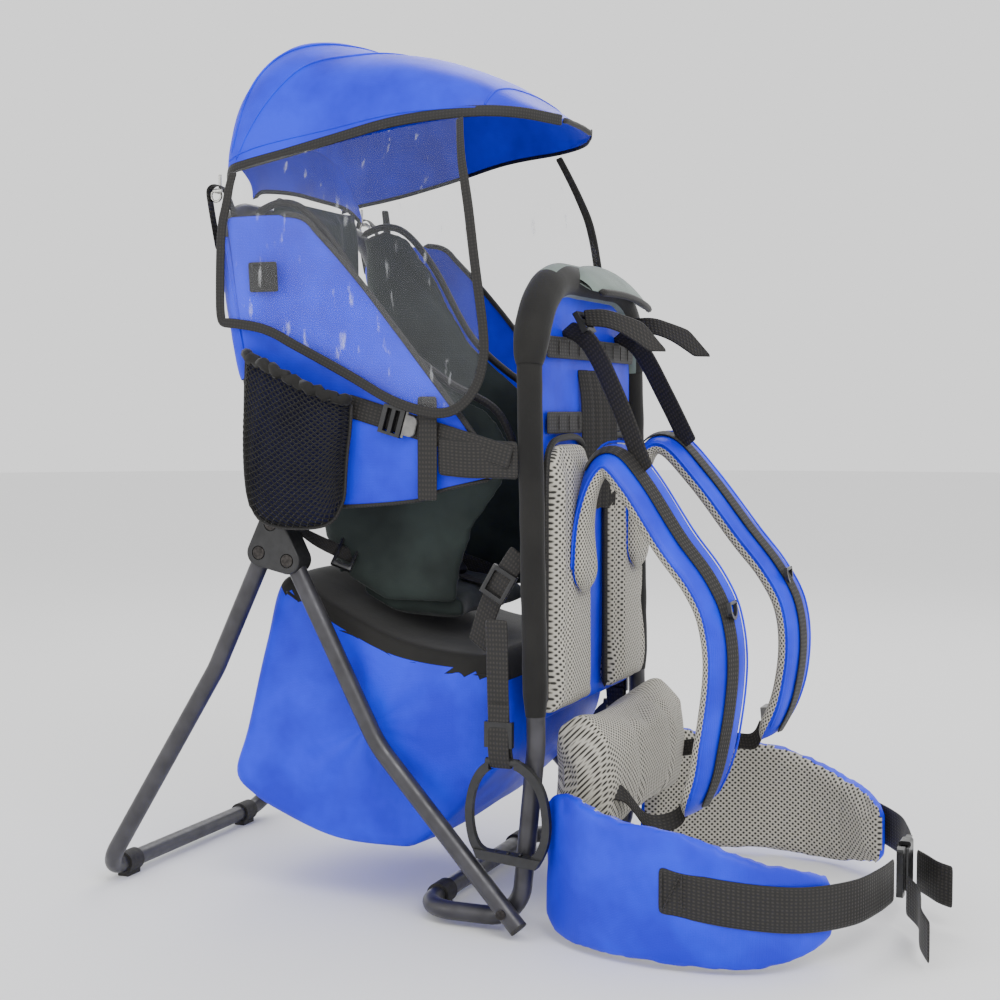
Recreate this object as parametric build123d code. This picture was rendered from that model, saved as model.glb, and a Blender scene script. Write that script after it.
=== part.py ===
from build123d import *
import math
import os

# Child-carrier backpack: a folding-stand tube frame that carries a fabric child seat, a sun canopy,
# a storage bag and the wearer's harness. Millimetres. +X is the wearer's left, -Y is towards the
# wearer, +Y is the child's side and +Z is up. The drawing is laid out from the plane of the back
# frame, and every piece is moved by CENTRE_Y at the end so that the origin is under the middle.

# ---- frame tubes ----
TUBE_OD = 20.0
TUBE_WALL = 1.5
FRAME_HALF = 178.0        # back frame uprights, centre line from the middle
FRAME_TOP = 692.0         # back frame arch, centre line height
ARCH_RADIUS = 105.0
UPRIGHT_Y = -14.0         # upright centre line at the arch
KNEE_Y = -24.0            # upright centre line at the knee, where it turns back to the foot loop
KNEE_Z = 200.0
KNEE_RADIUS = 160.0
LOOP_Z = 16.0             # foot loop centre line height
LOOP_HEEL_Y = -6.0        # where the upright would meet the foot loop
LOOP_REAR_Y = 110.0       # crossbar of the foot loop
LOOP_RADIUS = 40.0
STRUT_HALF = FRAME_HALF + 6.0   # tubes at the hinge bracket, centre line from the middle
HOOP_BOLT = (279.0, 427.0)
PIVOT = (294.0, 395.0)    # stand hinge
STRUT_BOLT = (259.0, 387.0)
HOOP_TOP = (344.0, 775.0)
HOOP_RADIUS = 55.0
STRUT_BEND = (157.0, 190.0)
STRUT_FOOT = (-12.0, 13.0)
STRUT_FOOT_HALF = FRAME_HALF + TUBE_OD + 2.5   # the side tube's foot passes outside the upright
STRUT_RADIUS = 120.0
STAND_BEND = (357.0, 262.0)
STAND_BAR = (510.0, 16.0)
STAND_BEND_RADIUS = 110.0
STAND_CORNER_RADIUS = 36.0
RIVET_D = 6.0
PIN_D = 8.0
PIN_CLEARANCE = 0.05
RIVET_AT = (3.0, 28.0)
FOOT_LENGTH = 26.0
FOOT_HALF_STAND = STRUT_HALF - STAND_CORNER_RADIUS - FOOT_LENGTH / 2 - 1   # rubber feet from the middle
FOOT_HALF_LOOP = FRAME_HALF - LOOP_RADIUS - FOOT_LENGTH / 2 - 7
FOOT_WALL = 3.0
PLUG_LIP = 3.0

# ---- hinge bracket ----
BRACKET_LOBE = 15.0
BRACKET_PLATE = 4.0
SLOT_PLAY = 0.4
STAND_FOLD = 48.0         # degrees from standing to folded

# ---- soft goods ----
SLEEVE_WALL = 3.6
SLEEVE_LOW = 232.0
DROOL_WALL = 6.0          # pad over the arch
DROOL_LOW = FRAME_TOP - 94.0
LINER_HALF = FRAME_HALF - 66.0   # inside face of the seat's padded side walls
LINER_THICK = 10.0
POCKET_BACK = STRUT_HALF + 16.0
POCKET_DEEP = 33.0
WINDOW_OUT = 19.0         # clear curtain, outward of the hinge bracket's middle
BAG_HALF = STRUT_HALF - 26.0
BAG_WALL = 3.0
ZIP_HALF = 112.0          # the zip's run each side of the middle
WEB = 2.0
NARROW_WEB = 25.0
BELT_WEB = 47.0
BELT_LOW = 38.0           # lower edge of the belt's webbing
WING_THICK = 17.0
SIDE_THICK = 1.6
STRAP_OUT = 8.5           # side strap, outward of the hinge bracket's middle
RISE_OUT = 13.0
CAM_OUT = 14.0            # cam buckle's middle
CAM_AT = (131.0, 540.0)
CAM_TILT = 16.0
LEVER_HINGE = 15.2        # lever's hinge pin, forward of the cam buckle's middle
LEVER_PIN = 1.6
RING_BAR = 2.0            # radius of a strap ring's straight bar
STIRRUP_OUT = 12.2        # foot ring's middle, outward of the hinge bracket's middle
STIRRUP_PIVOT = 185.0
STIRRUP_BAR = 4.2
GAP = 0.4

# ---- back panel and its pads ----
PANEL_LOW = 222.0
PANEL_THICK = 4.0
PAD_THICK = 18.0
PAD_TOP = 522.0
CHANNEL_HALF = 33.0

# ---- canopy ----
CANOPY_WALL = 3.0
CANOPY_DRAWN = 184.0      # bracket middle that the canopy's half widths below were drawn for
CANOPY_PIVOT = (352.0, 792.0)
WINDOW_THICK = 1.6
WIRE_R = 1.8
EYELET_PLAY = 0.3
HOOK_IN = 8.0             # hooks, inward of the hinge bracket's middle

# ---- overall reach of the drawing, front and rear ----
REACH_FRONT = -431.0
REACH_REAR = STAND_BAR[0] + TUBE_OD / 2 + FOOT_WALL
CENTRE_Y = -(REACH_FRONT + REACH_REAR) / 2

SIDES = {"left": 1, "right": -1}
TUBE_R = TUBE_OD / 2
nodes = {}


def keep(name, *solids):
    """Store a node as one compound of separate solids."""
    flat = []
    for s in solids:
        flat.extend(s.solids())
    nodes[name] = flat


def x_rod(y, z, radius, x0, x1):
    """Cylinder along X between two x values."""
    return Pos((x0 + x1) / 2, y, z) * Rot(0, 90, 0) * Cylinder(radius, abs(x1 - x0))


def slab_x(points, x0, x1, smooth=False):
    """Prism along X of a closed outline given as (y, z) points."""
    if smooth:
        edge = Spline([Vector(0, y, z) for y, z in points], periodic=True)
        face = make_face(Wire([edge]))
    else:
        face = make_face(Polyline([Vector(0, y, z) for y, z in points], close=True))
    solid = extrude(face, amount=abs(x1 - x0), dir=(1, 0, 0))
    return Pos(min(x0, x1), 0, 0) * solid


def ribbon_face(points, thick):
    """Closed band of even thickness along a smooth line of (a, b) points, in the XY plane."""
    line = Spline([Vector(a, b, 0) for a, b in points])
    left = []
    right = []
    count = max(12, 4 * len(points))
    for i in range(count + 1):
        p = line @ (i / count)
        t = line % (i / count)
        n = Vector(-t.Y, t.X, 0)
        left.append(p + n * (thick / 2))
        right.append(p - n * (thick / 2))
    a = Spline(left)
    b = Spline(right)
    ends = [Line(left[0], right[0]), Line(left[-1], right[-1])]
    return make_face(Wire([a, ends[1], b, ends[0]]))


def band_x(points, thick, x0, x1):
    """Band bent in the YZ plane through (y, z) points, as wide as x0 to x1."""
    solid = extrude(ribbon_face(points, thick), amount=abs(x1 - x0))
    turned = Plane(origin=(0, 0, 0), x_dir=(0, 1, 0), z_dir=(1, 0, 0)) * solid
    return Pos(min(x0, x1), 0, 0) * turned


def band_z(points, thick, z0, z1):
    """Band bent in the XY plane through (x, y) points, as high as z0 to z1."""
    return Pos(0, 0, min(z0, z1)) * extrude(ribbon_face(points, thick), amount=abs(z1 - z0))


def band_y(points, thick, y0, y1):
    """Band bent in the XZ plane through (x, z) points, as deep as y0 to y1."""
    solid = extrude(ribbon_face(points, thick), amount=abs(y1 - y0))
    turned = Plane(origin=(0, 0, 0), x_dir=(1, 0, 0), z_dir=(0, -1, 0)) * solid
    return Pos(0, max(y0, y1), 0) * turned


def swept(points, radii, outer, inner):
    """Round tube of two radii along straight runs joined by arcs."""
    path = FilletPolyline(*[Vector(*p) for p in points], radius=radii)
    start = Plane(origin=path @ 0, z_dir=path % 0)
    body = sweep(start * Circle(outer), path=path)
    if inner:
        body = body - sweep(start * Circle(inner), path=path)
    return body


def tube(points, radii):
    return swept(points, radii, TUBE_R, TUBE_R - TUBE_WALL)


def along(a, b, distance):
    """Point at a distance from a towards b, in (y, z)."""
    length = math.dist(a, b)
    return tuple(a[i] + (b[i] - a[i]) * distance / length for i in range(2))


# ============================================================ frame tubes
def back_frame_half():
    """Half of the closed loop: arch, upright, knee and foot loop, on the +X side."""
    points = [
        (0, UPRIGHT_Y, FRAME_TOP),
        (FRAME_HALF, UPRIGHT_Y, FRAME_TOP),
        (FRAME_HALF, KNEE_Y, KNEE_Z),
        (FRAME_HALF, LOOP_HEEL_Y, LOOP_Z),
        (FRAME_HALF, LOOP_REAR_Y, LOOP_Z),
        (0, LOOP_REAR_Y, LOOP_Z),
    ]
    return tube(points, [ARCH_RADIUS, KNEE_RADIUS, LOOP_RADIUS, LOOP_RADIUS])


def strut_points(side):
    top = along(STRUT_BOLT, STRUT_BEND, -8.0)
    return [
        (side * STRUT_HALF, *top),
        (side * STRUT_HALF, *STRUT_BEND),
        (side * STRUT_FOOT_HALF, *STRUT_FOOT),
    ]


def hoop_half():
    low = along(HOOP_BOLT, HOOP_TOP, -9.0)
    return tube([(STRUT_HALF, *low), (STRUT_HALF, *HOOP_TOP), (0, *HOOP_TOP)], [HOOP_RADIUS])


def stand_half():
    start = along(PIVOT, STAND_BEND, -8.0)
    points = [
        (STRUT_HALF, *start),
        (STRUT_HALF, *STAND_BEND),
        (STRUT_HALF, *STAND_BAR),
        (0, *STAND_BAR),
    ]
    return tube(points, [STAND_BEND_RADIUS, STAND_CORNER_RADIUS])


def both(half):
    """A half joined to its mirror image in the middle."""
    return half + mirror(half, about=Plane.YZ)


def frame_tubes():
    rivet = [x_rod(*RIVET_AT, RIVET_D / 2, s * (FRAME_HALF - 16), s * (STRUT_FOOT_HALF + 16)) for s in (1, -1)]
    hoop_pin = [x_rod(*HOOP_BOLT, PIN_D / 2, s * (STRUT_HALF - 24), s * (STRUT_HALF + 26)) for s in (1, -1)]
    pivot_bore = [x_rod(*PIVOT, PIN_D / 2 + PIN_CLEARANCE, s * (STRUT_HALF - 24), s * (STRUT_HALF + 26)) for s in (1, -1)]
    keep("back_frame", both(back_frame_half()) - rivet)
    keep("seat_hoop", both(hoop_half()) - hoop_pin)
    keep("kickstand", both(stand_half()) - pivot_bore)
    for name, side in SIDES.items():
        strut = tube(strut_points(side), [STRUT_RADIUS])
        strut_pin = x_rod(*STRUT_BOLT, PIN_D / 2, side * (STRUT_HALF - 24), side * (STRUT_HALF + 26))
        keep("side_tube_" + name, strut - rivet - strut_pin)


def hinge_brackets():
    """Two cheeks and the web between them, with sockets for the fixed tubes and a slot for the stand."""
    inner = STRUT_HALF - TUBE_R - SLOT_PLAY
    outer = STRUT_HALF + TUBE_R + SLOT_PLAY
    for name, side in SIDES.items():
        lobes = [HOOP_BOLT, PIVOT, STRUT_BOLT]
        profile = Sketch() + [Pos(y, z) * Circle(BRACKET_LOBE) for y, z in lobes]
        profile = make_hull(profile.edges())
        block = extrude(profile, amount=outer - inner + 2 * BRACKET_PLATE)
        block = Plane(origin=(inner - BRACKET_PLATE, 0, 0), x_dir=(0, 1, 0), z_dir=(1, 0, 0)) * block
        block = fillet(block.faces().sort_by(Axis.X)[-1].edges(), 2.5)
        # swing room for the stand leg, at a few angles of the fold
        steps = 6
        for k in range(steps + 1):
            turn = Pos(0, *PIVOT) * Rot(-STAND_FOLD * k / steps, 0, 0) * Pos(0, -PIVOT[0], -PIVOT[1])
            start = along(PIVOT, STAND_BEND, -9.5)
            end = along(PIVOT, STAND_BEND, 60.0)
            run = Vector(0, end[0] - start[0], end[1] - start[1])
            wide = 2 * (TUBE_R + 1.2)
            cut = Plane(origin=(STRUT_HALF, *start), x_dir=(1, 0, 0), z_dir=run) * extrude(
                Rectangle(outer - inner, wide), amount=run.length)
            block = block - turn * cut
        for a, b in ((HOOP_BOLT, HOOP_TOP), (STRUT_BOLT, STRUT_BEND)):
            start = along(a, b, -9.5)
            end = along(a, b, 60.0)
            run = Vector(0, end[0] - start[0], end[1] - start[1])
            bore = Plane(origin=(STRUT_HALF, *start), z_dir=run) * extrude(Circle(TUBE_R), amount=run.length)
            block = block - bore
        for y, z in lobes:
            block = block - x_rod(y, z, PIN_D / 2, STRUT_HALF - 30, STRUT_HALF + 30)
            block = block - x_rod(y, z, PIN_D, outer + BRACKET_PLATE - 1.6, outer + BRACKET_PLATE + 5)
        if side < 0:
            block = mirror(block, about=Plane.YZ)
        keep("hinge_bracket_" + name, block)


def fasteners():
    inner = STRUT_HALF - TUBE_R - SLOT_PLAY - BRACKET_PLATE
    outer = STRUT_HALF + TUBE_R + SLOT_PLAY + BRACKET_PLATE

    def bolt(y, z, radius, x0, x1, head):
        shank = x_rod(y, z, radius, x0, x1)
        dome = x_rod(y, z, head, x1 - 1.6, x1 + 0.6)
        dome = fillet(dome.edges().sort_by(Axis.X)[-1], 1.0)
        tail = x_rod(y, z, head * 0.8, x0 - 1.2, x0)
        return shank + dome + tail

    bolts = []
    rivets = []
    for flip in (False, True):
        pair = [bolt(*at, PIN_D / 2, inner, outer, PIN_D - 0.8) for at in (HOOP_BOLT, STRUT_BOLT)]
        pin = bolt(*PIVOT, PIN_D / 2, inner, outer, PIN_D - 0.8)
        low = x_rod(*RIVET_AT, RIVET_D / 2, FRAME_HALF - TUBE_R - 0.5, STRUT_FOOT_HALF + TUBE_R + 0.2)
        low = low + x_rod(*RIVET_AT, RIVET_D, FRAME_HALF - TUBE_R - 1.8, FRAME_HALF - TUBE_R - 0.4)
        low = low + x_rod(*RIVET_AT, RIVET_D * 0.9, STRUT_FOOT_HALF + TUBE_R - 0.2, STRUT_FOOT_HALF + TUBE_R + 1.2)
        group = [*pair, pin, low]
        if flip:
            group = [mirror(g, about=Plane.YZ) for g in group]
        bolts += group[:3]
        rivets.append(group[3])
    keep("bracket_bolts", *bolts)
    keep("foot_rivets", *rivets)


def feet_and_plugs():
    plugs = []
    for side in (1, -1):
        a, b, c = strut_points(side)
        run = Vector(*c) - Vector(*b)
        end = Plane(origin=c, z_dir=run)
        lip = end * extrude(Circle(TUBE_R), amount=PLUG_LIP)
        lip = fillet(lip.edges().sort_by(Axis.Z)[0], 1.2)
        stub = end * extrude(Circle(TUBE_R - TUBE_WALL), amount=-14)
        plugs.append(lip + stub)
    keep("tube_plugs", *plugs)

    def foot(x, bar):
        y, z = bar
        block = Pos(x, y, (z + 2) / 2) * Box(FOOT_LENGTH, TUBE_OD + 2 * FOOT_WALL, z + 2)
        ring = x_rod(y, z, TUBE_R + FOOT_WALL, x - FOOT_LENGTH / 2, x + FOOT_LENGTH / 2)
        block = block & Pos(x, y, z) * Box(FOOT_LENGTH, TUBE_OD + 2 * FOOT_WALL, 2 * z)
        body = ring + (block & Pos(x, y, 4) * Box(FOOT_LENGTH, TUBE_OD * 0.7, 8))
        return body - x_rod(y, z, TUBE_R, x - FOOT_LENGTH, x + FOOT_LENGTH)

    keep("stand_feet", *[foot(s * FOOT_HALF_STAND, STAND_BAR) for s in (1, -1)])
    keep("loop_feet", *[foot(s * FOOT_HALF_LOOP, (LOOP_REAR_Y, LOOP_Z)) for s in (1, -1)])



# ============================================================ soft goods on the frame
def upright_y(z):
    """Centre line of the leaning upright at a height."""
    return KNEE_Y + (UPRIGHT_Y - KNEE_Y) * (z - KNEE_Z) / (FRAME_TOP - KNEE_Z)


def arch_points(low):
    """Half of the arch and its upright down to a height."""
    return [(0, UPRIGHT_Y, FRAME_TOP), (FRAME_HALF, UPRIGHT_Y, FRAME_TOP), (FRAME_HALF, upright_y(low), low)]


def frame_sleeve():
    """Padded fabric sleeve over the uprights and the arch."""
    keep("frame_sleeve", both(swept(arch_points(SLEEVE_LOW), [ARCH_RADIUS], TUBE_R + SLEEVE_WALL, TUBE_R)))


def back_panel():
    """Stretched fabric between the uprights, with a rounded top under the arch."""
    half = FRAME_HALF - TUBE_R - SLEEVE_WALL - GAP
    top = FRAME_TOP - TUBE_R - SLEEVE_WALL - GAP
    corner = ARCH_RADIUS - TUBE_R - SLEEVE_WALL - GAP
    sheet = Pos(0, 0, (top + PANEL_LOW) / 2) * Box(2 * half, PANEL_THICK, top - PANEL_LOW)
    corners = sheet.edges().filter_by(Axis.Y).sort_by(Axis.Z)[-2:]
    sheet = fillet(corners, corner)
    sheet = Pos(0, UPRIGHT_Y - 5, 0) * sheet
    wrap = both(swept(arch_points(DROOL_LOW - 60), [ARCH_RADIUS], TUBE_R + SLEEVE_WALL + DROOL_WALL + 1, 0))
    keep("back_panel", sheet - wrap)


def back_pads():
    """Spacer-mesh pads either side of the air channel, on the wearer's side."""
    outer = FRAME_HALF - TUBE_R - SLEEVE_WALL - 2
    face_y = UPRIGHT_Y - 5 - PANEL_THICK / 2
    wide = outer - CHANNEL_HALF
    pads = []
    for side in (1, -1):
        pad = Box(wide, PAD_THICK, PAD_TOP - PANEL_LOW)
        pad = fillet(pad.edges().filter_by(Axis.Y).group_by(Axis.Z)[-1], wide * 0.3)
        pad = fillet(pad.faces().sort_by(Axis.Y)[0].edges(), 6)
        middle = (PAD_TOP + PANEL_LOW) / 2
        pads.append(Pos(side * (CHANNEL_HALF + wide / 2), face_y - PAD_THICK / 2, middle) * pad)
    keep("back_pads", *pads)


def drool_pad():
    """Thick pad wrapped over the top of the arch, with a lip towards the wearer."""
    inner = TUBE_R + SLEEVE_WALL + 0.2
    points = arch_points(DROOL_LOW - 60)
    wrap = both(swept(points, [ARCH_RADIUS], inner + DROOL_WALL, inner))
    wrap = wrap - Pos(0, 0, DROOL_LOW / 2) * Box(4 * FRAME_HALF, 200, DROOL_LOW)
    rise = [(18, 24), (-26, 20), (-42, -2), (-36, -14), (-18, -2), (-6, 20)]
    lip_profile = [(UPRIGHT_Y + dy - (14 if dy == 18 else 0), FRAME_TOP + dz) for dy, dz in rise]
    lip = slab_x(lip_profile, 108.0 - FRAME_HALF, FRAME_HALF - 60.0)
    lip = lip - both(swept(points, [ARCH_RADIUS], inner + DROOL_WALL / 2, 0))
    keep("drool_pad", wrap + lip)


def lumbar_pad():
    """Wedge cushion at the small of the back, between the two hip wings."""
    profile = [(-31.0, 92.0), (-31.0, 216.0), (-62.0, 236.0), (-92.0, 205.0), (-98.0, 150.0), (-88.0, 96.0)]
    pad = slab_x(profile, 32.0 - FRAME_HALF, FRAME_HALF - 32.0)
    keep("lumbar_pad", fillet(pad.edges().filter_by(Axis.X), 7))


def hip_wing(side):
    """Padded half of the hip belt: an outline seen from the side, bent round the hip."""
    path = [(-22, -37), (18, -72), (46, -128), (54, -190), (44, -252), (12, -300), (-28, -326)]
    band = band_z([(side * (FRAME_HALF + x), y) for x, y in path], WING_THICK, 0.0, 200.0)
    outline = [(-20, 60), (-34, 18), (-70, 4), (-150, 2), (-240, 2), (-300, 10), (-332, 32), (-340, 62),
               (-322, 92), (-270, 118), (-190, 142), (-110, 154), (-62, 160), (-26, 130)]
    return band & slab_x(outline, side * (FRAME_HALF - 58), side * (FRAME_HALF + 72), smooth=True)


def hip_belt():
    for name, side in SIDES.items():
        keep("hip_wing_" + name, hip_wing(side))
    # webbing sewn on each wing and led to the buckle in front
    reach = FRAME_HALF + 27
    near = [(-reach - 38.4, -176), (-reach - 31, -246), (-reach, -306), (55 - reach, -348), (-95, -366), (-48, -374)]
    far = [(reach + 38.4, -176), (reach + 31, -246), (reach, -306), (reach - 53, -348), (100, -366), (50, -378)]
    low = BELT_LOW
    keep("hip_webbing_right", band_z(near, WEB, low, low + BELT_WEB))
    keep("hip_webbing_left", band_z(far, WEB, low, low + BELT_WEB))


def hip_buckle():
    """Side-release buckle: a socket on the left webbing and a two-pronged tongue on the right."""
    y = -376.0
    z = BELT_LOW + BELT_WEB / 2
    wide = BELT_WEB + 7
    socket = Pos(16, y, z) * Box(38, 13, wide)
    socket = fillet(socket.edges(), 3)
    socket = socket - Pos(6, y, z) * Box(34, 7.4, wide - 9)
    socket = socket - Pos(4, y, z + wide / 2) * Box(16, 20, 9) - Pos(4, y, z - wide / 2) * Box(16, 20, 9)
    bar = Pos(41, y, z) * Box(12, 6, wide - 2) - Pos(42, y, z) * Box(6.4, 8, wide - 12)
    keep("hip_buckle_socket", socket + bar)
    tongue = Pos(-14, y, z) * Box(18, 7, wide - 2)
    tongue = fillet(tongue.edges().filter_by(Axis.Y), 3)
    tongue = tongue - Pos(-18, y, z) * Box(6.4, 9, wide - 12)
    prongs = [Pos(6, y, z + s * (wide / 2 - 8.5)) * Box(26, 5.4, 5) for s in (1, -1)]
    guide = Pos(4, y, z) * Box(20, 5.4, 7)
    keep("hip_buckle_tongue", tongue + prongs + guide)
    keep("hip_webbing_tails",
         band_z([(-28, -384), (-62, -403), (-110, -410), (-142, -424)], WEB, 3.0, 3.0 + BELT_WEB),
         band_z([(50, -384), (26, -398), (10, -412), (2, -429)], WEB, 26.0, 26.0 + BELT_WEB))


SHOULDER_RIGHT = [(-50, 356), (-48, 430), (-60, 482), (-80, 500), (-108, 472), (-148, 412), (-180, 370), (-198, 330),
                  (-203, 270), (-189, 178), (-166, 122)]
SHOULDER_LEFT = [(-50, 366), (-48, 444), (-60, 500), (-88, 512), (-128, 472), (-178, 408), (-210, 368), (-231, 328),
                 (-236, 277), (-226, 220), (-202, 172)]
SHOULDER_IN = 64.0
SHOULDER_WIDE = 64.0


def shoulder_straps():
    for name, side in SIDES.items():
        path = SHOULDER_LEFT if side > 0 else SHOULDER_RIGHT
        keep("shoulder_strap_" + name, band_x(path, 14.0, side * SHOULDER_IN, side * (SHOULDER_IN + SHOULDER_WIDE)))


def load_lifters():
    """Webbing from the top of the back panel to each shoulder strap, through a ladder buckle."""
    webs = []
    buckles = []
    for side in (1, -1):
        x = side * (SHOULDER_IN + 14)
        path = [(-24, FRAME_TOP - 52), (-52, FRAME_TOP - 70), (-84, FRAME_TOP - 126), (-112, 511 if side > 0 else 492)]
        webs.append(band_x(path, WEB, x, x + side * NARROW_WEB))
        mid = x + side * NARROW_WEB / 2
        frame = Box(NARROW_WEB + 7, 6, 24) - Pos(0, 0, 5) * Box(NARROW_WEB, 8, 5) - Pos(0, 0, -5) * Box(NARROW_WEB, 8, 5)
        buckles.append(Pos(mid, -46, FRAME_TOP - 47) * Rot(-30, 0, 0) * frame)
    keep("load_lifter_webs", *webs)
    keep("load_lifter_buckles", *buckles)


def strap_rings():
    """D-rings that hang from the shoulder straps."""
    for name, side in SIDES.items():
        y, z = (-225.5, 372.0) if side > 0 else (-208.0, 352.0)
        mid = side * (SHOULDER_IN + SHOULDER_WIDE / 2)
        ring = Polyline((-13, 0), (13, 0)) + ThreePointArc((13, 0), (0, -20), (-13, 0))
        face = make_face(ring)
        outline = extrude(face, amount=RING_BAR, both=True)
        hole = extrude(offset(face, -2 * RING_BAR), amount=3, both=True)
        body = outline - hole - Pos(0, -RING_BAR, 0) * Box(24, 2 * RING_BAR, 8)
        body = body + Pos(0, -RING_BAR, 0) * Rot(0, 90, 0) * Cylinder(RING_BAR, 25)
        body = Rot(90, 0, 0) * body
        keep("strap_ring_" + name, Pos(mid, y - 3, z) * Rot(-8, 0, 0) * body)


# ============================================================ child seat
LINER_EDGE = [(332, 772), (300, 782), (268, 772), (228, 727), (172, 638), (105, 583), (48, 552), (24, 512),
              (34, 470), (70, 420), (88, 372), (98, 332), (185, 332), (232, 358), (262, 402), (296, 520), (322, 660)]
SIDE_EDGE = [(329, 763), (251, 763), (220, 740), (165, 680), (76, 572), (30, 512), (22, 480), (82, 466),
             (105, 456), (188, 448), (282, 446), (302, 560), (309, 600)]


def seat_liners():
    """Padded side walls that hold the child's hips, leaning out towards the top."""
    for name, side in SIDES.items():
        wall = band_y([(side * (LINER_HALF - 4), 318), (side * (LINER_HALF + 4), 560), (side * (LINER_HALF + 22), 790)],
                      LINER_THICK, 10, 345)
        keep("seat_liner_" + name, wall & slab_x(LINER_EDGE, side * (LINER_HALF - 52), side * (LINER_HALF + 63)))


def seat_sides():
    """Outer fabric side panels, from the hoop to the back frame."""
    for name, side in SIDES.items():
        path = [(0, 18), (5, 90), (6, 190), (4, 262), (12, 306), (15.5, 330)]
        sheet = band_z([(side * (STRUT_HALF + x), y) for x, y in path], SIDE_THICK, 430, 780)
        tube_room = swept(
            [(side * STRUT_HALF, *along(HOOP_BOLT, HOOP_TOP, -20)), (side * STRUT_HALF, *HOOP_TOP), (0, *HOOP_TOP)],
            [HOOP_RADIUS], TUBE_R + SLEEVE_WALL + GAP, 0)
        keep("seat_side_" + name, sheet & slab_x(SIDE_EDGE, side * (STRUT_HALF - 34), side * (STRUT_HALF + 31)) - tube_room)


def hoop_sleeves():
    """Fabric sleeves of the seat on the two legs of the hoop."""
    legs = []
    for side in (1, -1):
        start = along(HOOP_BOLT, HOOP_TOP, 172.0)
        leg = swept([(side * STRUT_HALF, *start), (side * STRUT_HALF, *HOOP_TOP), (0, *HOOP_TOP)],
                    [HOOP_RADIUS], TUBE_R + SLEEVE_WALL, TUBE_R)
        leg = leg & Pos(side * STRUT_HALF, 330, 640) * Box(60, 120, 214)
        # webbing loop with the eyelet that the canopy's wire hinges in
        edge = [(344, 800), (359, 800), (359, 770), (352, 700), (338, 700), (344, 770)]
        loop = slab_x(edge, side * STRUT_HALF, side * (STRUT_HALF + SIDE_THICK))
        tube = swept([(side * STRUT_HALF, *start), (side * STRUT_HALF, *HOOP_TOP), (0, *HOOP_TOP)],
                     [HOOP_RADIUS], TUBE_R, 0)
        eyelet = x_rod(*CANOPY_PIVOT, WIRE_R + EYELET_PLAY, side * (STRUT_HALF - 5), side * (STRUT_HALF + 9))
        legs.append(leg + (loop - tube - eyelet))
    keep("hoop_sleeves", *legs)


def seat_back_and_base():
    half = LINER_HALF - LINER_THICK - 1
    back = band_x([(322, 800), (318, 700), (302, 580), (268, 450), (236, 362)], 14.0, -half, half)
    keep("seat_back_pad", back)
    base = slab_x([(92, 322), (180, 326), (221, 346), (219, 360), (160, 352), (96, 342)], -half, half)
    keep("seat_cushion", fillet(base.edges().filter_by(Axis.X), 4))


def child_harness():
    """Harness straps, crotch strap and the buckle with its push button."""
    straps = []
    for side in (1, -1):
        x = side * 34
        straps.append(band_x([(299, 668), (284, 590), (250, 510), (206, 440), (174, 400)], 4.0, x, x + side * 32))
    straps.append(band_x([(100, 347), (112, 350), (122, 352.5), (132, 356.5)], 3.0, -14, 14))
    keep("child_straps", *straps)
    at = Pos(-4, 160, 378) * Rot(0, 0, -22) * Rot(-48, 0, 0)
    body = fillet(Box(46, 13, 52).edges(), 4)
    keep("harness_buckle", at * (body - Pos(0, -6, 0) * Rot(90, 0, 0) * Cylinder(8.7, 9)))
    button = Rot(90, 0, 0) * Cylinder(8.2, 5)
    keep("buckle_button", at * Pos(0, -6.6, 0) * fillet(button.edges().sort_by(Axis.Y)[0], 1.2))


def side_straps():
    """Webbing across each side panel with a cam buckle, and an upright strap behind it."""
    runs = []
    rises = []
    for name, side in SIDES.items():
        x = side * (STRUT_HALF + STRAP_OUT)
        runs.append(slab_x([(188, 570), (188, 545), (-2, 490), (-2, 515)], x, x + side * WEB))
        x = side * (STRUT_HALF + RISE_OUT)
        rises.append(slab_x([(80, 566), (80, 458), (102, 454), (102, 566)], x, x + side * SIDE_THICK))
        at = Pos(side * (STRUT_HALF + CAM_OUT), *CAM_AT) * Rot(CAM_TILT, 0, 0)
        frame = Box(7, 26, 31)
        frame = frame - Pos(0, 5, 0) * Box(9, 5.5, NARROW_WEB) - Pos(0, -5, 0) * Box(9, 5.5, NARROW_WEB)
        keep("side_buckle_" + name, at * frame)
        lever = Pos(side * 1.2, -LEVER_HINGE - 6.5, 0) * Box(2 * LEVER_PIN, 13, 22)
        lever = fillet(lever.edges().filter_by(Axis.X).sort_by(Axis.Y)[:2], 6)
        barrel = Pos(side * 1.2, -LEVER_HINGE, 0) * Cylinder(LEVER_PIN, 28)
        keep("side_lever_" + name, at * (lever + barrel))
    keep("side_straps", *runs)
    keep("rise_straps", *rises)


def mesh_pockets():
    """Open-topped mesh pouches outside the seat's side panels."""
    edge = [(187, 566), (305, 612), (306, 470), (296, 436), (270, 425), (222, 425), (197, 434), (187, 462)]
    hole = [(190, 600), (190, 463), (199, 437), (222, 428), (270, 428), (294, 438), (303, 470), (302, 650), (190, 650)]
    for name, side in SIDES.items():
        x0 = POCKET_BACK
        shell = slab_x(edge, side * x0, side * (x0 + POCKET_DEEP))
        shell = shell - slab_x(hole, side * (x0 + 2.5), side * (x0 + POCKET_DEEP - 2.5))
        keep("mesh_pocket_" + name, shell)


# ============================================================ storage bag
BAG_EDGE = [(284, 366), (322, 250), (352, 138), (302, 101), (227, 75), (148, 72), (124, 77), (82, 111),
            (20, 180), (12, 244), (34, 300), (52, 289), (141, 300), (224, 335)]


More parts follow.
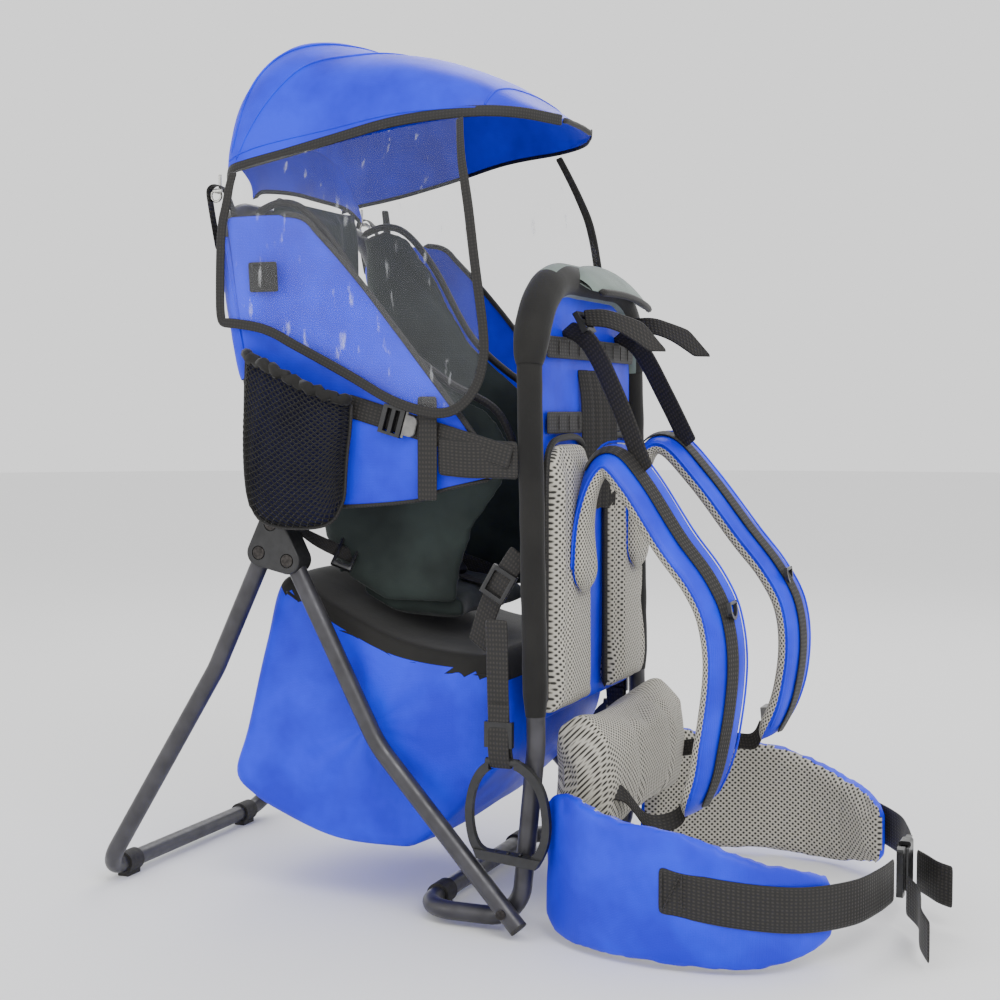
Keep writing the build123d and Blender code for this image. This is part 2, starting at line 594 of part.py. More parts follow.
def storage_bag():
    """Bag between the frame tubes, open under its lid, with a zip across the rear."""
    outer = slab_x(BAG_EDGE, -BAG_HALF, BAG_HALF)
    middle = (168, 210)
    inner_edge = [(y + (middle[0] - y) * 0.035, z + (middle[1] - z) * 0.035) for y, z in BAG_EDGE]
    inner = slab_x(inner_edge, -BAG_HALF + BAG_WALL, BAG_HALF - BAG_WALL)
    mouth = slab_x([(60, 270), (60, 470), (262, 470), (262, 300), (141, 270)], -BAG_HALF + BAG_WALL, BAG_HALF - BAG_WALL)
    keep("storage_bag", outer - inner - mouth)
    top = [(282, 365.5), (224, 335.5), (141, 300.4), (60, 290.4), (60, 294), (141, 304), (224, 339.2), (282, 369.2)]
    keep("bag_lid", slab_x(top, -BAG_HALF, BAG_HALF))


def bag_zip():
    """Slider that runs across the rear face of the bag."""
    slope = math.degrees(math.atan2(322 - 284, 366 - 250))
    at = Pos(-ZIP_HALF, 313.5, 288) * Rot(slope, 0, 0)
    slider = fillet(Box(9, 4, 12).edges(), 1.2)
    pull = Pos(0, 1.6, -16) * Box(6, 1.6, 22)
    keep("zip_slider", at * (slider + pull))


# ============================================================ stirrups
def stirrups():
    """Foot rings on webbing straps outside the uprights."""
    straps = []
    buckles = []
    for name, side in SIDES.items():
        middle_x = STRUT_HALF + STIRRUP_OUT
        strap = slab_x([(2, 334), (27, 334), (22, 204), (-3, 204)], side * (middle_x - 1.8), side * middle_x)
        straps.append(strap)
        buckle = Pos(side * (middle_x + 1.4), 10, 214) * Box(7, 31, 27)
        buckle = buckle - Pos(side * (middle_x - 0.9), 10, 214) * Box(2.6, NARROW_WEB + 2, 40)
        buckles.append(buckle)
        edge = [(6, 190), (32, 178), (46, 146), (46, 112), (36, 88), (4, 80), (-30, 78), (-44, 100),
                (-46, 132), (-36, 166), (-14, 186)]
        middle = (2.0, 132.0)
        hole = [(y + (middle[0] - y) * 0.17, z + (middle[1] - z) * 0.17) for y, z in edge]
        ring = slab_x(edge, side * (middle_x - 4), side * (middle_x + 4), smooth=True)
        ring = ring - slab_x(hole, side * (middle_x - 16), side * (middle_x + 14), smooth=True)
        ring = ring - Pos(side * middle_x, 7, 188) * Box(12, 28, 22)
        bar = Pos(side * middle_x, 7, STIRRUP_PIVOT) * Rot(90, 0, 0) * Cylinder(STIRRUP_BAR, 36)
        tread = slab_x([(34, 82.5), (38, 92.5), (-38, 86), (-32, 76)], side * (middle_x - 6.6), side * (middle_x + 6.6))
        keep("stirrup_" + name, ring + bar + tread)
    keep("stirrup_straps", *straps)
    keep("stirrup_sliders", *buckles)


# ============================================================ canopy
# stations from the rear to the tip of the visor: y, half width, edge height, crown height
CANOPY = [
    (362, 140, 806, 872),
    (348, 164, 816, 930),
    (318, 172, 822, 975),
    (280, 173, 829, 984),
    (220, 169, 842, 965),
    (144, 160, 859, 952),
    (68, 148, 866, 924),
    (24, 112, 868, 893),
    (-6, 52, 867, 874),
]


def arch_section(y, half, low, crown):
    """Closed arch outline across the canopy at one station."""
    rise = crown - low
    curve = [(-1, 0), (-0.97, 0.3), (-0.85, 0.66), (-0.6, 0.87), (-0.3, 0.97), (0, 1)]
    curve = curve + [(-a, b) for a, b in reversed(curve[:-1])]
    half = half * STRUT_HALF / CANOPY_DRAWN
    top = Spline([Vector(a * half, y, low + b * rise) for a, b in curve])
    return make_face(Wire([top, Line(top @ 1, top @ 0)]))


def canopy_top():
    outer = loft([arch_section(*row) for row in CANOPY], ruled=True)
    inner_rows = [(y, h - CANOPY_WALL - 0.5, low - 1.0, crown - CANOPY_WALL) for y, h, low, crown in CANOPY[1:-1]]
    inner = loft([arch_section(*row) for row in inner_rows], ruled=True)
    keep("canopy_top", outer - inner)


WINDOW_EDGE = [(68, 860), (40, 776), (29, 706), (20, 636), (20, 600), (30, 572), (52, 547), (83, 543), (130, 556),
               (184, 584), (248, 617), (284, 634), (338, 643), (343, 660), (340, 746), (334, 776), (330, 817),
               (266, 830), (144, 855)]


def canopy_windows():
    """Clear side curtains that hang from the canopy outside the seat."""
    for name, side in SIDES.items():
        path = [(-53, 866), (-25, 830), (-5, 792), (0, 740), (0, 640), (0, 530)]
        hang = STRUT_HALF + WINDOW_OUT
        sheet = band_y([(side * (hang + x), z) for x, z in path], WINDOW_THICK, 10, 350)
        cut = slab_x(WINDOW_EDGE, side * (hang - 63), side * (hang + 12))
        shade = loft([arch_section(*row) for row in [(y, h + 1.5, low - 1.5, crown + 1.5) for y, h, low, crown in CANOPY]],
                     ruled=True)
        keep("canopy_window_" + name, (sheet & cut) - shade)


def canopy_hooks():
    """Wire hooks at the rear corners that clip the canopy to eyelets on the hoop sleeve."""
    hooks = []
    for side in (1, -1):
        x = side * (STRUT_HALF - HOOK_IN)
        y, z = CANOPY_PIVOT
        path = FilletPolyline((x, y, z + 20), (x, y, z), (x + side * 16, y, z), (x + side * 16, y - 12, z), radius=4)
        hooks.append(sweep(Plane(origin=path @ 0, z_dir=path % 0) * Circle(WIRE_R), path=path))
    keep("canopy_hooks", *hooks)


frame_tubes()
hinge_brackets()
fasteners()
feet_and_plugs()
frame_sleeve()
back_panel()
back_pads()
drool_pad()
lumbar_pad()
hip_belt()
hip_buckle()
shoulder_straps()
load_lifters()
strap_rings()
seat_liners()
seat_sides()
hoop_sleeves()
seat_back_and_base()
child_harness()
side_straps()
mesh_pockets()
storage_bag()
bag_zip()
stirrups()
canopy_top()
canopy_windows()
canopy_hooks()


def save_all():
    os.makedirs("parts", exist_ok=True)
    shift = Pos(0, CENTRE_Y, 0)
    for name, solids in nodes.items():
        export_step(Compound([shift * s for s in solids]), "parts/" + name + ".step")


save_all()
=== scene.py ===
# %% [markdown]
# A child-carrier backpack: a dark tube frame on a fold-out stand, a blue cloth seat with a sun canopy
# and clear side curtains, a storage bag, and the harness that the grown-up wears. The tubes, brackets
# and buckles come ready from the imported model, which stays fixed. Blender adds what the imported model
# can't show: sewn cloth, padding, webbing, film, and every finish.

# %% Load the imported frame
import math

import bpy
import numpy as np
from mathutils import Matrix, Vector, noise


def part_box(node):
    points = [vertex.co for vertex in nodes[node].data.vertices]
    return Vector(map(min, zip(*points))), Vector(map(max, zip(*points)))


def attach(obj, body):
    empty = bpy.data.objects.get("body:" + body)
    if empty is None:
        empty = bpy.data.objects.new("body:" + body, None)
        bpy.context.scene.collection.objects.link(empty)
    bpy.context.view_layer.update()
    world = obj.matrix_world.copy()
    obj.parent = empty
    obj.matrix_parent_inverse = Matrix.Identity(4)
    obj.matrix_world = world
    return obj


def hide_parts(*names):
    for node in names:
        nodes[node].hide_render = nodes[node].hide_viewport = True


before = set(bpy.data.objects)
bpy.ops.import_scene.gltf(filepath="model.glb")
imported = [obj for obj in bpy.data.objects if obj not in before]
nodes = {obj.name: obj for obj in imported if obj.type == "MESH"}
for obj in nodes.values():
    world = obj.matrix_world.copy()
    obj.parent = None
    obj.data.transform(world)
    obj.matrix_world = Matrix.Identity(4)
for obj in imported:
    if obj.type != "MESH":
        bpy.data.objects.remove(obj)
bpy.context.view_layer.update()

# %% [markdown]
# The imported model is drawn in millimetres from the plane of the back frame, and then moved so that its
# origin is under the middle. Working in the same millimetres keeps every number readable, so one small
# function turns a drawing point into a place in the frame. The stand's rubber feet say how far it moved.

# %% From drawing millimetres to the frame
STAND_REACH = 523
MIDDLE_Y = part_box("stand_feet")[1][1] - STAND_REACH / 1000
SIDES = {"left": 1, "right": -1}


def drawn(x, y, z):
    """A point of the drawing in millimetres, as metres in the frame."""
    return (x / 1000, y / 1000 + MIDDLE_Y, z / 1000)


print("the drawing's origin is at y =", round(MIDDLE_Y, 4))

# %% [markdown]
# The camera stands at the wearer's right hand, a little in front and a little above the middle, and
# looks very slightly down. A long lens keeps the tubes nearly parallel. Three vectors say which way it
# looks, and they become the columns of its matrix.

# %% Camera
LENS = 60.98
ahead = Vector((0.9272, 0.3708, -0.0523)).normalized()
right = ahead.cross(Vector((0, 0, 1))).normalized()
up = right.cross(ahead)
eye = Vector((-1.820, -0.686, 0.550))
bpy.ops.object.camera_add()
camera = bpy.context.object
camera.data.lens = LENS
camera.matrix_world = Matrix(
    [[right[i], up[i], -ahead[i], eye[i]] for i in range(3)] + [[0, 0, 0, 1]])
bpy.context.scene.camera = camera
print("camera at", tuple(round(v, 3) for v in eye))

# %% [markdown]
# A studio for a product is a pale floor, a pale room and large soft lamps. The room light does most of
# the work, a large lamp above and in front gives the cloth its highlights, and a weaker one from the
# side opens the shadows.

# %% Floor, room and lamps
ROOM_LIGHT = 1.3
FLOOR_GREY = 0.84
bpy.ops.object.select_all(action="DESELECT")
bpy.ops.mesh.primitive_circle_add(vertices=96, radius=14, fill_type="NGON", location=(0, 0, 0))
floor = bpy.context.object
floor.name = "studio_floor"
floor_paint = bpy.data.materials.new("pale_floor")
floor_paint.use_nodes = True
floor_shader = floor_paint.node_tree.nodes["Principled BSDF"]
floor_shader.inputs["Base Color"].default_value = (FLOOR_GREY, FLOOR_GREY, FLOOR_GREY, 1)
floor_shader.inputs["Roughness"].default_value = 0.9
floor.data.materials.append(floor_paint)
room = bpy.context.scene.world or bpy.data.worlds.new("room")
bpy.context.scene.world = room
room.use_nodes = True
room.node_tree.nodes["Background"].inputs["Color"].default_value = (1, 1, 1, 1)
room.node_tree.nodes["Background"].inputs["Strength"].default_value = ROOM_LIGHT
for name, place, size, power in (("key", (-1.9, -1.7, 2.6), 1.6, 60), ("fill", (-2.4, 1.9, 1.3), 1.6, 16),
                                 ("rim", (2.2, 0.4, 2.4), 1.6, 24)):
    lamp = bpy.data.lights.new(name, "AREA")
    lamp.size = size
    lamp.energy = power
    holder = bpy.data.objects.new(name, lamp)
    bpy.context.scene.collection.objects.link(holder)
    holder.location = place
    holder.rotation_euler = (Vector((0, 0, 0.5)) - Vector(place)).to_track_quat("-Z", "Y").to_euler()
print("lamps:", 3, "room strength:", ROOM_LIGHT)

# %% [markdown]
# Finishes come next. Each is a Principled shader with a few texture nodes in front of it. Colours are
# written as the hex values a designer would name, which are sRGB, so one function turns them to the
# linear light Blender mixes. Another adds a node with its settings and its links in one line.

# %% Colour and node helpers
def colour(hex_code):
    """An sRGB hex colour as linear RGBA."""
    parts = [int(hex_code[i:i + 2], 16) / 255 for i in (1, 3, 5)]
    return [*(c / 12.92 if c <= 0.04045 else ((c + 0.055) / 1.055) ** 2.4 for c in parts), 1.0]


def add(tree, kind, inputs=None, **settings):
    """Add one node with its settings; an input that is a socket is linked."""
    node = tree.nodes.new(kind)
    for key, value in settings.items():
        setattr(node, key, value)
    for key, value in (inputs or {}).items():
        if isinstance(value, bpy.types.NodeSocket):
            tree.links.new(value, node.inputs[key])
        else:
            node.inputs[key].default_value = value
    return node


def start(name, base, rough, **sockets):
    """A new material; sockets are the shader's own uniform values."""
    material = bpy.data.materials.new(name)
    material.use_nodes = True
    material.diffuse_color = colour(base)
    shader = material.node_tree.nodes["Principled BSDF"]
    shader.inputs["Base Color"].default_value = colour(base)
    shader.inputs["Roughness"].default_value = rough
    for socket, value in sockets.items():
        shader.inputs[socket.replace("_", " ").title().replace("Ior", "IOR")].default_value = value
    return material, material.node_tree, shader


def speckle(tree, size_mm, detail=2.0, stretch=(1, 1, 1)):
    """Smooth noise whose blobs are about size_mm across."""
    spot = add(tree, "ShaderNodeTexCoord").outputs["Object"]
    if stretch != (1, 1, 1):
        spot = add(tree, "ShaderNodeMapping", {"Vector": spot, "Scale": stretch}).outputs["Vector"]
    return add(tree, "ShaderNodeTexNoise",
               {"Vector": spot, "Scale": 1000 / size_mm, "Detail": detail}).outputs["Fac"]


def spread(tree, value, low, high, start_at=0.3, end_at=0.7):
    """Map a 0 to 1 pattern to the range low to high."""
    return add(tree, "ShaderNodeMapRange", {"Value": value, "From Min": start_at, "From Max": end_at,
                                            "To Min": low, "To Max": high}).outputs["Result"]


def two_tone(tree, factor, first, second):
    """Blend two hex colours by a pattern."""
    return add(tree, "ShaderNodeMix", {0: factor, 6: colour(first), 7: colour(second)},
               data_type="RGBA").outputs[2]


def raise_up(tree, shader, height, depth_mm, strength=1.0):
    """Bump the surface by a pattern, depth_mm deep."""
    bump = add(tree, "ShaderNodeBump", {"Height": height, "Distance": depth_mm / 1000, "Strength": strength})
    tree.links.new(bump.outputs["Normal"], shader.inputs["Normal"])


def mottle(tree, shader, low, high, size_mm, detail=2.0):
    """Base colour that drifts between two hex colours."""
    blobs = spread(tree, speckle(tree, size_mm, detail), 0, 1)
    tree.links.new(two_tone(tree, blobs, low, high), shader.inputs["Base Color"])


def wear(tree, shader, low, high, size_mm, detail=2.0, stretch=(1, 1, 1)):
    """Roughness that drifts between two values."""
    marks = speckle(tree, size_mm, detail, stretch=stretch)
    tree.links.new(spread(tree, marks, low, high), shader.inputs["Roughness"])


print("helpers ready")

# %% [markdown]
# Satin powder coat on aluminium tube: a baked paint film with a fine orange-peel grain of a millimetre
# or so and a soft sheen, a little duller where hands and floors have rubbed it.

# %% Powder-coated tube, and the plastics
tube_paint, tree, shader = start("satin_powder_coat", "#3A393C", 0.36, metallic=0.35)
mottle(tree, shader, "#343336", "#434246", 24)
wear(tree, shader, 0.28, 0.46, 9, 5)
raise_up(tree, shader, speckle(tree, 1.6), 0.05, 0.5)

# Glass-filled nylon is moulded in a spark-eroded tool, which leaves a matt pebble grain.
nylon, tree, shader = start("glass_filled_nylon", "#1B1B1C", 0.52)
mottle(tree, shader, "#171718", "#232324", 14)
wear(tree, shader, 0.44, 0.62, 5, 4)
raise_up(tree, shader, speckle(tree, 1.4), 0.12, 0.5)

# Acetal buckles come from a polished tool, so they are glossier, with flow marks along the moulding.
acetal, tree, shader = start("moulded_acetal", "#151516", 0.32)
mottle(tree, shader, "#121213", "#1F1F20", 8)
wear(tree, shader, 0.24, 0.42, 12, 3, stretch=(1, 1, 0.3))
raise_up(tree, shader, speckle(tree, 3), 0.04, 0.5)

# The quick-pull levers and the silver-grey adjuster are pigmented grey acetal.
grey_acetal, tree, shader = start("grey_acetal", "#6C6B69", 0.4)
mottle(tree, shader, "#626160", "#777673", 6)
wear(tree, shader, 0.32, 0.5, 4, 4)
raise_up(tree, shader, speckle(tree, 2), 0.05, 0.5)

# Moulded rubber is matt and picks up pale dust.
rubber, tree, shader = start("moulded_rubber", "#1A1918", 0.72)
mottle(tree, shader, "#151413", "#2B2927", 5, 5)
raise_up(tree, shader, speckle(tree, 1.5), 0.15, 0.6)
print("plastics and rubber:", tube_paint.name, nylon.name, acetal.name, grey_acetal.name, rubber.name)

# %% [markdown]
# Bolts are blackened steel, which is a thin oxide over bare metal, so it stays a metal in the shader.
# The hooks and rings are bright plated wire. Both have fine scratches that spread the highlight.

# %% Metals
black_steel, tree, shader = start("black_oxide_steel", "#3B3937", 0.38, metallic=1.0)
mottle(tree, shader, "#2E2C2B", "#4A4745", 3, 4)
wear(tree, shader, 0.3, 0.5, 1.5, 4)
plated_wire, tree, shader = start("bright_plated_wire", "#C9C8C4", 0.22, metallic=1.0)
mottle(tree, shader, "#A9A8A4", "#DDDCD8", 4, 4)
wear(tree, shader, 0.15, 0.34, 2, 4, stretch=(1, 1, 0.2))
print("metals:", black_steel.name, plated_wire.name)

# %% [markdown]
# The blue cloth is coated woven polyester. Its threads are about half a millimetre apart, too fine to
# show at arm's length, so the weave is drawn at 1.6 mm. The threads catch light at a grazing angle,
# which is the sheen, and the cloth's colour drifts slowly between a deeper and a lighter tone, in blobs about
# 70 mm across.

# %% Woven cloths
def woven(name, low, high, grain_mm, rough, sheen, depth=0.12):
    """Cloth with a fine grain, a slow random shift of tone and soft folds in its bump."""
    material, tree, shader = start(name, high, rough, sheen_weight=sheen, sheen_roughness=0.45,
                                   specular_ior_level=0.3)
    slow = spread(tree, speckle(tree, 70, 3), 0, 1, 0.35, 0.65)
    tree.links.new(two_tone(tree, slow, low, high), shader.inputs["Base Color"])
    spot = add(tree, "ShaderNodeTexCoord").outputs["Object"]
    cells = add(tree, "ShaderNodeTexVoronoi", {"Vector": spot, "Scale": 1000 / grain_mm, "Randomness": 0.35})
    folds = speckle(tree, 34, 2.0)
    mixed = add(tree, "ShaderNodeMath", {0: folds, 1: 4.0}, operation="MULTIPLY").outputs[0]
    height = add(tree, "ShaderNodeMath", {0: cells.outputs["Distance"], 1: mixed}, operation="ADD").outputs[0]
    raise_up(tree, shader, height, depth, 0.7)
    return material


blue_cloth = woven("coated_polyester_blue", "#0012CC", "#0528F0", 1.6, 0.46, 0.0, 0.3)
black_cloth = woven("packcloth_black", "#11100F", "#1B1A18", 1.8, 0.78, 0.12, 0.25)
# Painted shade: this dark navy stands for the shaded blue cloth inside the net pockets.
pocket_shade_cloth = woven("pocket_lining_navy", "#0B0C2A", "#14163C", 2.0, 0.8, 0.05, 0.3)
lining = woven("padded_lining_dark_green", "#1D2422", "#2F3835", 2.2, 0.8, 0.15, 0.3)
fleece = woven("brushed_fleece_grey_green", "#59645F", "#74807A", 1.4, 0.95, 0.25, 0.4)
print("cloths:", blue_cloth.name, black_cloth.name, lining.name, fleece.name)

# %% [markdown]
# Spacer mesh is a knitted sandwich with holes about 3 mm apart in its face, so a grown-up's back can
# breathe. A lattice of round holes set on its corner presses them in, and the same lattice paints them
# dark as painted shade inside the holes. It reads the piece's own UV map, so that the rows follow the cloth.

# %% Spacer mesh
spacer_mesh, tree, shader = start("knitted_spacer_mesh", "#A9A59B", 0.9, sheen_weight=0.1)
HOLE_PITCH_MM = 4.6
spot = add(tree, "ShaderNodeMapping", {"Vector": add(tree, "ShaderNodeTexCoord").outputs["UV"],
                                       "Rotation": (0, 0, math.radians(45))}).outputs["Vector"]
holes = add(tree, "ShaderNodeTexVoronoi", {"Vector": spot, "Scale": 1000 / HOLE_PITCH_MM, "Randomness": 0.08},
            voronoi_dimensions="2D")
hole_dip_and_shade = spread(tree, holes.outputs["Distance"], 0, 1, 0.2, 0.42)
# Painted shade: the holes are coloured dark for the shade inside them.
tree.links.new(two_tone(tree, hole_dip_and_shade, "#2B2A26", "#B3AFA4"), shader.inputs["Base Color"])
raise_up(tree, shader, hole_dip_and_shade, 0.8, 0.8)
print("spacer mesh holes every", HOLE_PITCH_MM, "mm")

# %% [markdown]
# Webbing is woven in ribs across its width, and its pattern follows the strap round every bend, so it
# reads the strap's own UV map, which is in metres along and across. Ribs are drawn every 2.4 mm, and a
# chevron runs down the middle. The edge binding is the same weave, narrower and softer.

# %% Webbing and binding
WAVE_PITCH = 157     # scale of the wave pattern that repeats every millimetre, on a map in metres
YARN_MM = 1.8


def ribbed(name, low, high, rib_mm, depth):
    """Ribbed tape: ribs along the length with a slight chevron, paler on the crowns and darker in the hollows
    between them.
    """
    material, tree, shader = start(name, high, 0.7, sheen_weight=0.1, sheen_roughness=0.4)
    uv = add(tree, "ShaderNodeTexCoord").outputs["UV"]
    rib_look = {"Vector": uv, "Scale": WAVE_PITCH / rib_mm, "Distortion": 0.6, "Detail": 1.0,
                "Detail Scale": 2.0}
    ribs = add(tree, "ShaderNodeTexWave", rib_look, bands_direction="Y").outputs["Fac"]
    yarn = add(tree, "ShaderNodeTexWave", {"Vector": uv, "Scale": WAVE_PITCH / YARN_MM},
               bands_direction="X").outputs["Fac"]
    height = add(tree, "ShaderNodeMath", {0: ribs, 1: yarn}, operation="MULTIPLY").outputs[0]
    tree.links.new(two_tone(tree, spread(tree, height, 0, 1, 0.1, 0.8), low, high),
                   shader.inputs["Base Color"])
    raise_up(tree, shader, height, depth, 0.8)
    return material


webbing = ribbed("woven_nylon_webbing", "#0F0D0C", "#2A2622", 2.4, 0.5)
binding = ribbed("grosgrain_binding", "#0E0C0A", "#221F1C", 1.8, 0.3)
print("tapes:", webbing.name, binding.name)

# %% [markdown]
# The side curtains are soft clear vinyl, about a third of a millimetre thick. Most light passes
# straight through, and it mirrors the room at a glancing angle. Soft white streaks painted into its alpha
# are painted glare, standing for light caught along its creases. Alpha carries the clearness, because a thin
# film doesn't bend what is seen through it.

# %% Clear film
clear_film, tree, shader = start("clear_vinyl_film", "#F4F7FA", 0.08, ior=1.45)
painted_glare = speckle(tree, 26, 5, stretch=(1, 2.2, 0.6))
# Painted glare: whiter streaks in the film's alpha stand for highlights along its creases.
tree.links.new(spread(tree, painted_glare, 0.02, 0.24, 0.64, 0.78), shader.inputs["Alpha"])
raise_up(tree, shader, speckle(tree, 80, 2), 3, 0.4)
print("film:", clear_film.name)

# %% [markdown]
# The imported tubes, brackets, bolts and buckles already have their true shapes, so they only need their
# finishes. Assigning to the material slot leaves the mesh alone, which the frame requires.

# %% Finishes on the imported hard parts
HARD = {
    tube_paint: ["back_frame", "seat_hoop", "kickstand", "side_tube_left", "side_tube_right"],
    nylon: ["hinge_bracket_left", "hinge_bracket_right", "stirrup_left", "stirrup_right"],
    black_steel: ["bracket_bolts", "foot_rivets"],
    plated_wire: ["canopy_hooks"],
    rubber: ["loop_feet", "stand_feet", "tube_plugs"],
    acetal: ["hip_buckle_socket", "hip_buckle_tongue", "load_lifter_buckles", "strap_ring_left",
             "strap_ring_right",
             "harness_buckle", "buckle_button", "side_buckle_left", "side_buckle_right", "stirrup_sliders",
             "zip_slider"],
    grey_acetal: ["side_lever_left", "side_lever_right"],
}
for finish, names in HARD.items():
    for name in names:
        nodes[name].data.materials.clear()
        nodes[name].data.materials.append(finish)
print("hard parts finished:", sum(len(names) for names in HARD.values()))

# %% [markdown]
# Soft pieces start as a flat grid, as a cut panel does, and every point of the grid is then moved to
# its place on the finished piece. A smooth line through a few measured points gives edges and paths.
# Distances along it are real, so the grid's UV map can be in metres too, which the tapes rely on.

# %% Smooth lines and the cut panel
LOOK = 0.004     # how far to each side of a point its direction is measured, as a share of the line


def smooth(points, closed=False, steps=10):
    """A function of 0 to 1 along a smooth line through the points, by distance."""
    spots = np.array(points, float)
    if closed:
        ring = np.vstack([spots[-1:], spots, spots[:2]])
    else:
        ring = np.vstack([2 * spots[:1] - spots[1:2], spots, 2 * spots[-1:] - spots[-2:-1]])
    line = []
    for a, b, c, d in zip(ring, ring[1:], ring[2:], ring[3:]):
        for k in range(steps):
            t = k / steps
            line.append(0.5 * (2 * b + (c - a) * t + (2 * a - 5 * b + 4 * c - d) * t * t
                               + (3 * b - a - 3 * c + d) * t ** 3))
    line = np.array([*line, ring[-2]])
    reach = np.concatenate([[0], np.cumsum(np.linalg.norm(np.diff(line, axis=0), axis=1))])

    def at(t):
        return np.array([np.interp(t * reach[-1], reach, line[:, k]) for k in range(line.shape[1])])

    at.length = reach[-1]
    return at


def heading(at, t):
    """Unit direction of a line at t."""
    way = at(min(1, t + LOOK)) - at(max(0, t - LOOK))
    return way / np.linalg.norm(way)


def panel(name, across, along, place, wrap=False, thick_mm=0.0, levels=1):
    """A grid primitive whose points go to place(u, v); its UV map is in metres."""
    bpy.ops.object.select_all(action="DESELECT")
    bpy.ops.mesh.primitive_grid_add(x_subdivisions=across, y_subdivisions=along, size=1)
    piece = bpy.context.object
    piece.name = piece.data.name = name
    mesh = piece.data
    share = np.empty(len(mesh.vertices) * 3)
    mesh.vertices.foreach_get("co", share)
    share = np.clip(share.reshape(-1, 3)[:, :2] + 0.5, 0, 1)
    spots = np.array([drawn(*place(u, v)) for u, v in share])
    mesh.vertices.foreach_set("co", spots.ravel())
    order = np.lexsort((share[:, 0].round(4), share[:, 1].round(4)))
    rows = spots[order].reshape(len(np.unique(share[:, 1].round(4))), -1, 3)
    wide = np.linalg.norm(np.diff(rows, axis=1), axis=2).sum(axis=1).mean()
    long = np.linalg.norm(np.diff(rows, axis=0), axis=2).sum(axis=0).mean()
    uv = np.empty(len(mesh.loops) * 2)
    mesh.uv_layers.active.data.foreach_get("uv", uv)
    mesh.uv_layers.active.data.foreach_set("uv", (uv.reshape(-1, 2) * (wide, long)).ravel())
    bpy.ops.object.mode_set(mode="EDIT")
    bpy.ops.mesh.select_all(action="SELECT")
    if wrap:
        bpy.ops.mesh.remove_doubles(threshold=0.00004)
    bpy.ops.mesh.normals_make_consistent(inside=False)
    bpy.ops.object.mode_set(mode="OBJECT")
    mesh.update()
    if thick_mm:
        wall = piece.modifiers.new("wall", "SOLIDIFY")
        wall.thickness = thick_mm / 1000
        wall.offset = 0
    if levels:
        round_off = piece.modifiers.new("round", "SUBSURF")
        round_off.levels = round_off.render_levels = levels
    bpy.ops.object.shade_smooth()
    return piece


def dress(piece, body, slot, *finishes, instead=()):
    """Give a piece its finishes and its body, and hide the imported parts it stands for."""
    for finish in finishes:
        piece.data.materials.append(finish)
    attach(piece, body)
    if instead:
        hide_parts(*instead)
    print(piece.name, "rides on", body, "points:", len(piece.data.vertices))
    return piece


# %% [markdown]
# Two shapes come again and again on this carrier: a flat strap that bends in one plane, and a round
# cover or piping that follows a line. A strap is a panel as wide as the webbing. A cover is a panel
# wrapped round the line, with its frame carried along without twisting.

# %% Straps and covers
def strap(name, path, width, side=(1, 0, 0), steps=40, thick_mm=1.8, finish=None, slot="webbing", instead=(),
          crown=0.0):
    """A flat strap along a smooth path, width mm wide in the direction side."""
    at = smooth(path)
    side = np.array(side, float)

    def place(u, v):
        spot = at(v) + (u - 0.5) * width * side
        if crown:
            spot = spot + np.cross(heading(at, v), side) * crown * (1 - (2 * u - 1) ** 2)
        return spot

    piece = panel(name, 4, steps, place, thick_mm=thick_mm)
    return dress(piece, "frame", slot, finish or webbing, instead=instead)


def cover(name, at, radius, steps, around=12, first=(1, 0, 0), levels=1, thick_mm=0.0):
    """A round skin along a line; radius may be a function of (u, v)."""
    rings = []
    side = np.array(first, float)
    for k in range(steps + 1):
        way = heading(at, k / steps)
        side = side - way * side.dot(way)
        side = side / np.linalg.norm(side)
        rings.append((at(k / steps), side, np.cross(way, side)))

    def place(u, v):
        spot, a, b = rings[round(v * steps)]
        size = radius(u, v) if callable(radius) else radius
        turn = 2 * math.pi * u
        return spot + size * (a * math.cos(turn) + b * math.sin(turn))

    return panel(name, around, steps, place, wrap=True, levels=levels, thick_mm=thick_mm)


def piping(name, path, radius=1.6, closed=False, body="frame", finish=None, slot="black_cloth", pitch=7.0,
           first=(1, 0, 0), around=8):
    """Bound or corded edge along a line, closed at its ends."""
    at = smooth(path, closed)
    steps = max(6, int(at.length / pitch))

    def size(u, v):
        row = round(v * steps)
        return 0.02 if not closed and row in (0, steps) else radius

    piece = cover(name, at, size, steps, around, first=first, levels=0)
    return dress(piece, body, slot, finish or binding)


def once(side, node):
    """A packed group is stood for once, by its left copy."""
    return (node,) if side > 0 else ()


def both_sides(points, side):
    """Mirror a list of (x, y, z) points to a side."""
    return [(side * x, y, z) for x, y, z in points]


print("strap, cover and piping are ready")

# %% [markdown]
# A cushion has no flat cut to start from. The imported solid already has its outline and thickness, so a
# copy of it is rebuilt as an even skin of small squares, and Blender's cloth simulation blows it up a
# little. Points may only move so far, so the pad keeps its size, and its sides pull in at the seams.

# %% Padding by simulation
BLOW_PRESSURE = 4.0
BLOW_FRAMES = 20


